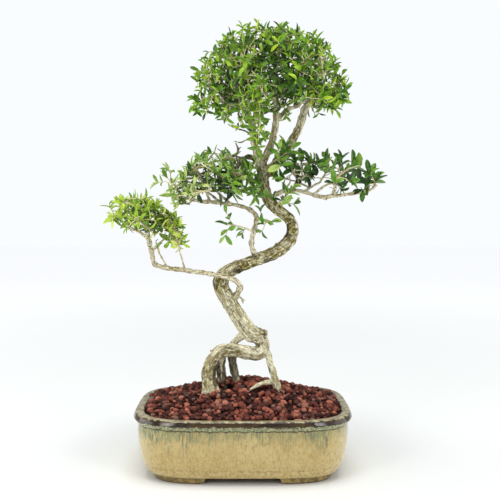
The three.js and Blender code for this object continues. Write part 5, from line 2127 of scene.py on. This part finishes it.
@dataclass
class Foliage:
    """All leafy sprays, inside the box given by two corners."""

    low: Array
    high: Array
    stem_rise: float = 0.1
    anchor_step: float = 0.05
    anchor_spacing: float = 10

    def __post_init__(self) -> None:
        """Prepares the shared leaves and the seeded draws."""
        self.forms = {shape: LeafForm(shape) for shape in LeafShape}
        self.crowd = Crowd()
        self.draw = random.Random(7)

    def jolt(self, reach: float) -> Array:
        """Draws a small step in any direction."""
        return np.array([self.draw.uniform(-reach, reach) for _ in range(3)])

    def has_room(self, middle: Array, points: Array) -> bool:
        """Takes the room of a leaf if it is inside the box, out of the hollows and free."""
        in_box = (points >= self.low).all() and (points <= self.high).all()
        return in_box and inside(HOLLOWS, points[-1]) <= 0.5 and self.crowd.take(middle)

    def freshness_and_highlight(self, pad: Pad, tip: Array) -> float:
        """Tells how young a leaf looks, from 0 to 1, which also paints highlights on three patches high on
        the crown.

        Args:
            pad: The pad that it belongs to.
            tip: The leaf's tip.

        Returns:
            More near the places where new shoots stand and where highlights are painted, and now and then
            elsewhere.
        """
        lone = 0.7 * self.draw.random() if self.draw.random() < pad.fresh else 0.0
        return max(inside(FRESH_AND_LIT_PLACES, tip) * self.draw.uniform(0.5, 1.0), lone)

    def pick_anchor(self, tip: Array, pad: Pad, taken: list[Array]) -> Array:
        """Finds the limb point that a stem grows from: near its tip, and not crowded.

        Args:
            tip: The stem's far end.
            pad: The pad that it belongs to.
            taken: The anchors so far, which gains this one.

        Returns:
            The anchor.
        """
        best, least = None, math.inf
        for name in pad.limbs:
            places = np.array(TRUNK if name == "trunk" else BRANCHES[name], float)[:, :3]
            share = pad.start
            while share <= 1:
                place = curve_points(places, np.array([min(share, 0.98)]))[0]
                gaps = (np.linalg.norm(other - place) for other in taken)
                crowding = sum(max(0.0, self.anchor_spacing - gap) for gap in gaps)
                cost = np.linalg.norm(place - tip) + 1.5 * crowding
                if cost < least:
                    best, least = place, cost
                share += self.anchor_step
        taken.append(best)
        return best

    def sprays(self, pad: Pad) -> list[Spray]:
        """Lays out a pad's stems, with the ends of their shoots.

        Args:
            pad: The pad.

        Returns:
            Its sprays.
        """
        ends = [(lone.place, lone.size) for lone in pad.lone_tips]
        if pad.dome:
            ends = [(tip, 1.0) for tip in pad.dome.tips(pad.dome.stems)]
        taken: list[Array] = []
        found = []
        for order, (place, size) in enumerate(ends, 1):
            tip = np.array(place, float)
            anchor = self.pick_anchor(tip, pad, taken)
            bend = 0.5 * (anchor + tip) + UP * self.stem_rise * np.linalg.norm(tip - anchor)
            node = f"{pad.name}_spray_{order:02d}"
            found.append(Spray(self, pad, node, np.array([anchor, bend, tip]), size))
        for spray, lone in zip(found, pad.lone_tips):
            spray.shoot_tips = [spray.line[2] + self.jolt(lone.spread) for _ in range(lone.shoots)]
        if pad.dome:
            self.share_out(pad, found)
        return found

    def share_out(self, pad: Pad, sprays: Sequence[Spray]) -> None:
        """Gives the ends of a dome's shoots to the sprays nearest to them.

        Args:
            pad: The pad.
            sprays: Its sprays.
        """
        reaches = [(spray, [spray.at(share)[0] for share in (0.45, 0.7, 0.95)]) for spray in sprays]
        tips = [np.array(place, float) for place in pad.extra_tips]
        for order, (scale, share) in enumerate(pad.shells, 1):
            tips += pad.dome.tips(round(pad.shoots * share), scale, pad.shell_turn * order)
        for tip in tips:
            tip = tip + self.jolt(4.5)
            nearest = min(reaches, key=lambda pair: min(np.linalg.norm(tip - spot) for spot in pair[1]))
            nearest[0].shoot_tips.append(tip)

    def build(self) -> None:
        """Builds and dresses one piece for each spray."""
        twig_bark = TwigBark().dress()
        for pad in PADS:
            sprays = self.sprays(pad)
            green = pad.finish.dress()
            for spray in sprays:
                spray.build([green, twig_bark])


PADS = (
    Pad(
        name="crown", limbs=tuple(CROWN_BRANCHES), start=0.5,
        finish=LeafGreen("leaf_crown", Colour(18, 70, 0), Colour(108, 164, 12), Colour(196, 228, 60)),
        leaf_length=(7.5, 12.5), leaf_width=0.33, broad=0.35,
        dome=Dome(stems=19, centre=(27, 0, 374), reach=(71, 54, 61), lowest=-0.3, turn=0),
        extra_tips=(
            (-12, -28, 343), (2, -32, 350), (12, -34, 350), (-3, -34, 356), (22, -34, 355), (36, -34, 359),
            (50, -30, 360), (7, -38, 362), (17, -38, 364), (62, -26, 359), (-25, -22, 352), (30, -30, 350),
            (-38, -16, 350), (78, -14, 358), (10, -26, 340), (-20, -26, 345), (4, -26, 336), (16, -24, 332),
            (44, -26, 354), (92, -12, 362), (86, -4, 356), (-48, -8, 354), (-52, -6, 364), (100, -4, 372),
            (8, -22, 326), (15, -20, 321), (21, -20, 330), (0, -22, 330), (24, -18, 323), (11, -20, 313),
        ),
        shoots=320, bare_twigs=8,
    ),
    Pad(
        name="left_pad", limbs=("left", "left_front", "left_back", "left_riser", "left_upper"),
        start=0.5,
        finish=LeafGreen("leaf_left", Colour(34, 98, 12), Colour(154, 198, 78), Colour(234, 244, 160)),
        leaf_length=(8.5, 13.5), leaf_width=0.3, broad=0.1,
        dome=Dome(stems=8, centre=(-33, -2, 267), reach=(41, 34, 41), lowest=0.02, turn=0, lean=0.18),
        extra_tips=(
            (-80, -2, 276), (-77, -6, 283), (-74, 0, 291), (-66, -10, 272), (-56, -13, 272),
            (-45, -15, 271), (-34, -17, 271), (-22, -18, 269), (-12, -19, 268), (0, -18, 270),
            (8, -18, 266), (-4, -19, 278), (12, -17, 296), (8, -19, 288), (14, -18, 280),
            (4, -20, 294), (6, -19, 281), (18, -17, 300),
        ),
        shoots=66, upward=0.35, leafy=0.45, bare_twigs=5, tint=0.62,
    ),
    Pad(
        name="right_pad", limbs=("right", "right_inner", "right_front", "right_back", "right_riser"),
        start=0.35,
        finish=LeafGreen("leaf_right", Colour(10, 60, 2), Colour(48, 110, 12), Colour(136, 184, 60)),
        leaf_length=(10.5, 16), leaf_width=0.42, broad=0.9,
        dome=Dome(stems=8, centre=(82, -7, 275), reach=(53, 33, 30), lowest=0.04, turn=0.57, lean=-0.08),
        extra_tips=(
            (128, -6, 287), (136, -4, 278), (56, -16, 286), (44, -16, 282), (88, -20, 296), (94, -16, 292),
            (102, -14, 288), (74, -20, 294), (64, -20, 290), (112, -12, 292),
        ),
        shoots=19, shells=((1.0, 0.75), (0.75, 0.25)), upward=0.4, leafy=0.3, pair_step=5.5,
        bare_twigs=1, twig_youth=0.2, tint=0.42, fresh=0.03,
    ),
    Pad(
        name="low_pad", limbs=("low", "low_outer", "low_front", "low_back", "low_inner"), start=0.6,
        finish=LeafGreen("leaf_low", Colour(78, 136, 10), Colour(192, 224, 62), Colour(238, 248, 124)),
        leaf_length=(8, 13), leaf_width=0.33, broad=0.3,
        dome=Dome(stems=7, centre=(-96, 5, 235), reach=(36, 30, 26), lowest=-0.2, turn=1.2, lean=-0.4),
        extra_tips=((-72, -8, 238), (-66, -8, 232), (-62, -9, 226), (-72, -4, 222), (-104, -6, 262)),
        shoots=76, upward=0.3, leafy=0.55, bare_twigs=7, tint=0.58, fresh=0.12,
    ),
    Pad(
        name="inner", limbs=("trunk", "left", "left_limb", "low_shoot", "low_shoot_inner"), start=0.15,
        finish=LeafGreen("leaf_inner", Colour(28, 86, 8), Colour(110, 164, 50), Colour(188, 214, 108)),
        leaf_length=(9.5, 13.5), leaf_width=0.4, broad=0.9,
        lone_tips=(
            LoneTip((35, -19, 303), 1.2, 9, 16), LoneTip((38, -21, 262), 1.1, 6, 13),
            LoneTip((-10, -13, 238), 1.0, 5, 12), LoneTip((28, -16, 241), 1.0, 3, 11),
            LoneTip((-12, -18, 346), 1.0, 5, 12), LoneTip((-86, -9, 221), 0.6, 3, 7),
            LoneTip((-65, -14, 226), 0.5, 4, 7),
        ),
        tip_pairs=2, twig_youth=0.25, leafy=0.5, pair_step=6.5, fresh=0.1,
    ),
)


@dataclass
class Studio:
    """Plain pale floor, soft white light and the camera. Its own lengths are in metres."""

    distance: float = 0.78
    eye_height: float = 0.24
    lens: float = 56.16
    sensor: float = 36
    shift: Pair = (0.0144, -0.054)
    floor_size: float = 14.0
    backdrop: Colour = Colour(250, 253, 255)
    fill: float = 0.4
    overhead: float = 1.65
    overhead_width: float = 40
    overhead_lean: float = 14
    aim_height: float = 0.15
    boxes: tuple[tuple[str, Place, Pair, float], ...] = (
        ("left_softbox", (-1.0, -1.25, 0.85), (0.4, 0.55), 5.5),
        ("right_softbox", (1.05, -1.2, 0.85), (0.4, 0.55), 5.0),
        ("left_wall", (-1.4, 0.0, 0.4), (1.2, 0.8), 7.5),
        ("right_wall", (1.4, 0.0, 0.4), (1.2, 0.8), 5.0),
    )

    def add_floor(self) -> None:
        """Lays the floor, which is no part of the bonsai."""
        reach = self.floor_size / 2 / MM
        corners = [(-reach, -reach, 0), (reach, -reach, 0), (reach, reach, 0), (-reach, reach, 0)]
        draft = MeshDraft()
        draft.add(np.array(corners, float), [(0, 1, 2, 3)])
        floor = draft.build("studio_floor")
        floor.data.materials.append(StudioWhite().dress())

    def add_sky(self) -> None:
        """Makes the white backdrop, which is brighter to the eye than the light it gives."""
        world = bpy.data.worlds.new("studio_sky")
        world.use_nodes = True
        wire = Wiring(world.node_tree)
        lit = wire.node("ShaderNodeBackground", {"Color": self.backdrop, "Strength": self.fill})
        seen = wire.node("ShaderNodeBackground", {"Color": self.backdrop, "Strength": 1.0})
        straight = wire.node("ShaderNodeLightPath").outputs["Is Camera Ray"]
        both = wire.node("ShaderNodeMixShader", {0: straight, 1: lit.outputs[0], 2: seen.outputs[0]})
        surface = world.node_tree.nodes["World Output"].inputs["Surface"]
        world.node_tree.links.new(both.outputs[0], surface)
        bpy.context.scene.world = world

    def add_light(self, name: str, lamp: bpy.types.Light, place: Place, aim: Place) -> None:
        """Hangs one light.

        Args:
            name: The light's name.
            lamp: The lamp in it.
            place: Where it hangs.
            aim: The point that it faces.
        """
        light = show(name, lamp)
        light.location = place
        light.rotation_euler = (Vector(aim) - Vector(place)).to_track_quat("-Z", "Y").to_euler()
        light.visible_camera = False

    def add_lights(self) -> None:
        """Hangs the wide light overhead, the two softboxes in front and the white walls."""
        sun = bpy.data.lights.new("overhead", "SUN")
        sun.energy = self.overhead
        sun.angle = math.radians(self.overhead_width)
        lean = math.tan(math.radians(self.overhead_lean))
        self.add_light("overhead", sun, (0.0, -2 * lean, 2.0), (0.0, 0.0, 0.0))
        for name, place, size, power in self.boxes:
            box = bpy.data.lights.new(name, "AREA")
            box.shape = "RECTANGLE"
            box.size, box.size_y = size
            box.energy = power
            self.add_light(name, box, place, (0.0, 0.0, self.aim_height))

    def add_camera(self) -> None:
        """Stands the camera in front, looking level."""
        camera = bpy.data.cameras.new("front_camera")
        camera.lens = self.lens
        camera.sensor_width = self.sensor
        camera.shift_x, camera.shift_y = self.shift
        view = show("front_camera", camera)
        view.location = (0, -self.distance, self.eye_height)
        view.rotation_euler = (math.pi / 2, 0, 0)
        bpy.context.scene.camera = view

    def build(self) -> None:
        """Sets the whole studio."""
        bpy.context.scene.view_settings.view_transform = "Standard"
        self.add_sky()
        self.add_floor()
        self.add_lights()
        self.add_camera()


def dress_hidden_solids() -> None:
    """Gives the soil and the drain screens, which keep their solids, their finishes."""
    soil, plastic = Soil().dress(), ScreenPlastic().dress()
    for node, material in (("soil", soil), ("drain_mesh_left", plastic), ("drain_mesh_right", plastic)):
        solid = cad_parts[node]
        solid.data.materials.clear()
        solid.data.materials.append(material)
        LOG.info("%s: its own solid", node)


def main() -> None:
    """Builds the studio, then the bonsai from the table up."""
    logging.basicConfig(level=logging.INFO, format="%(message)s")
    low, high = CAD_BOX
    Studio().build()
    pot = Pot()
    pot.build()
    Gravel(pot).build()
    dress_hidden_solids()
    Wood().build()
    Foliage(np.array(low) / MM, np.array(high) / MM).build()
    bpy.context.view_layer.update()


if __name__ == "__main__":
    main()
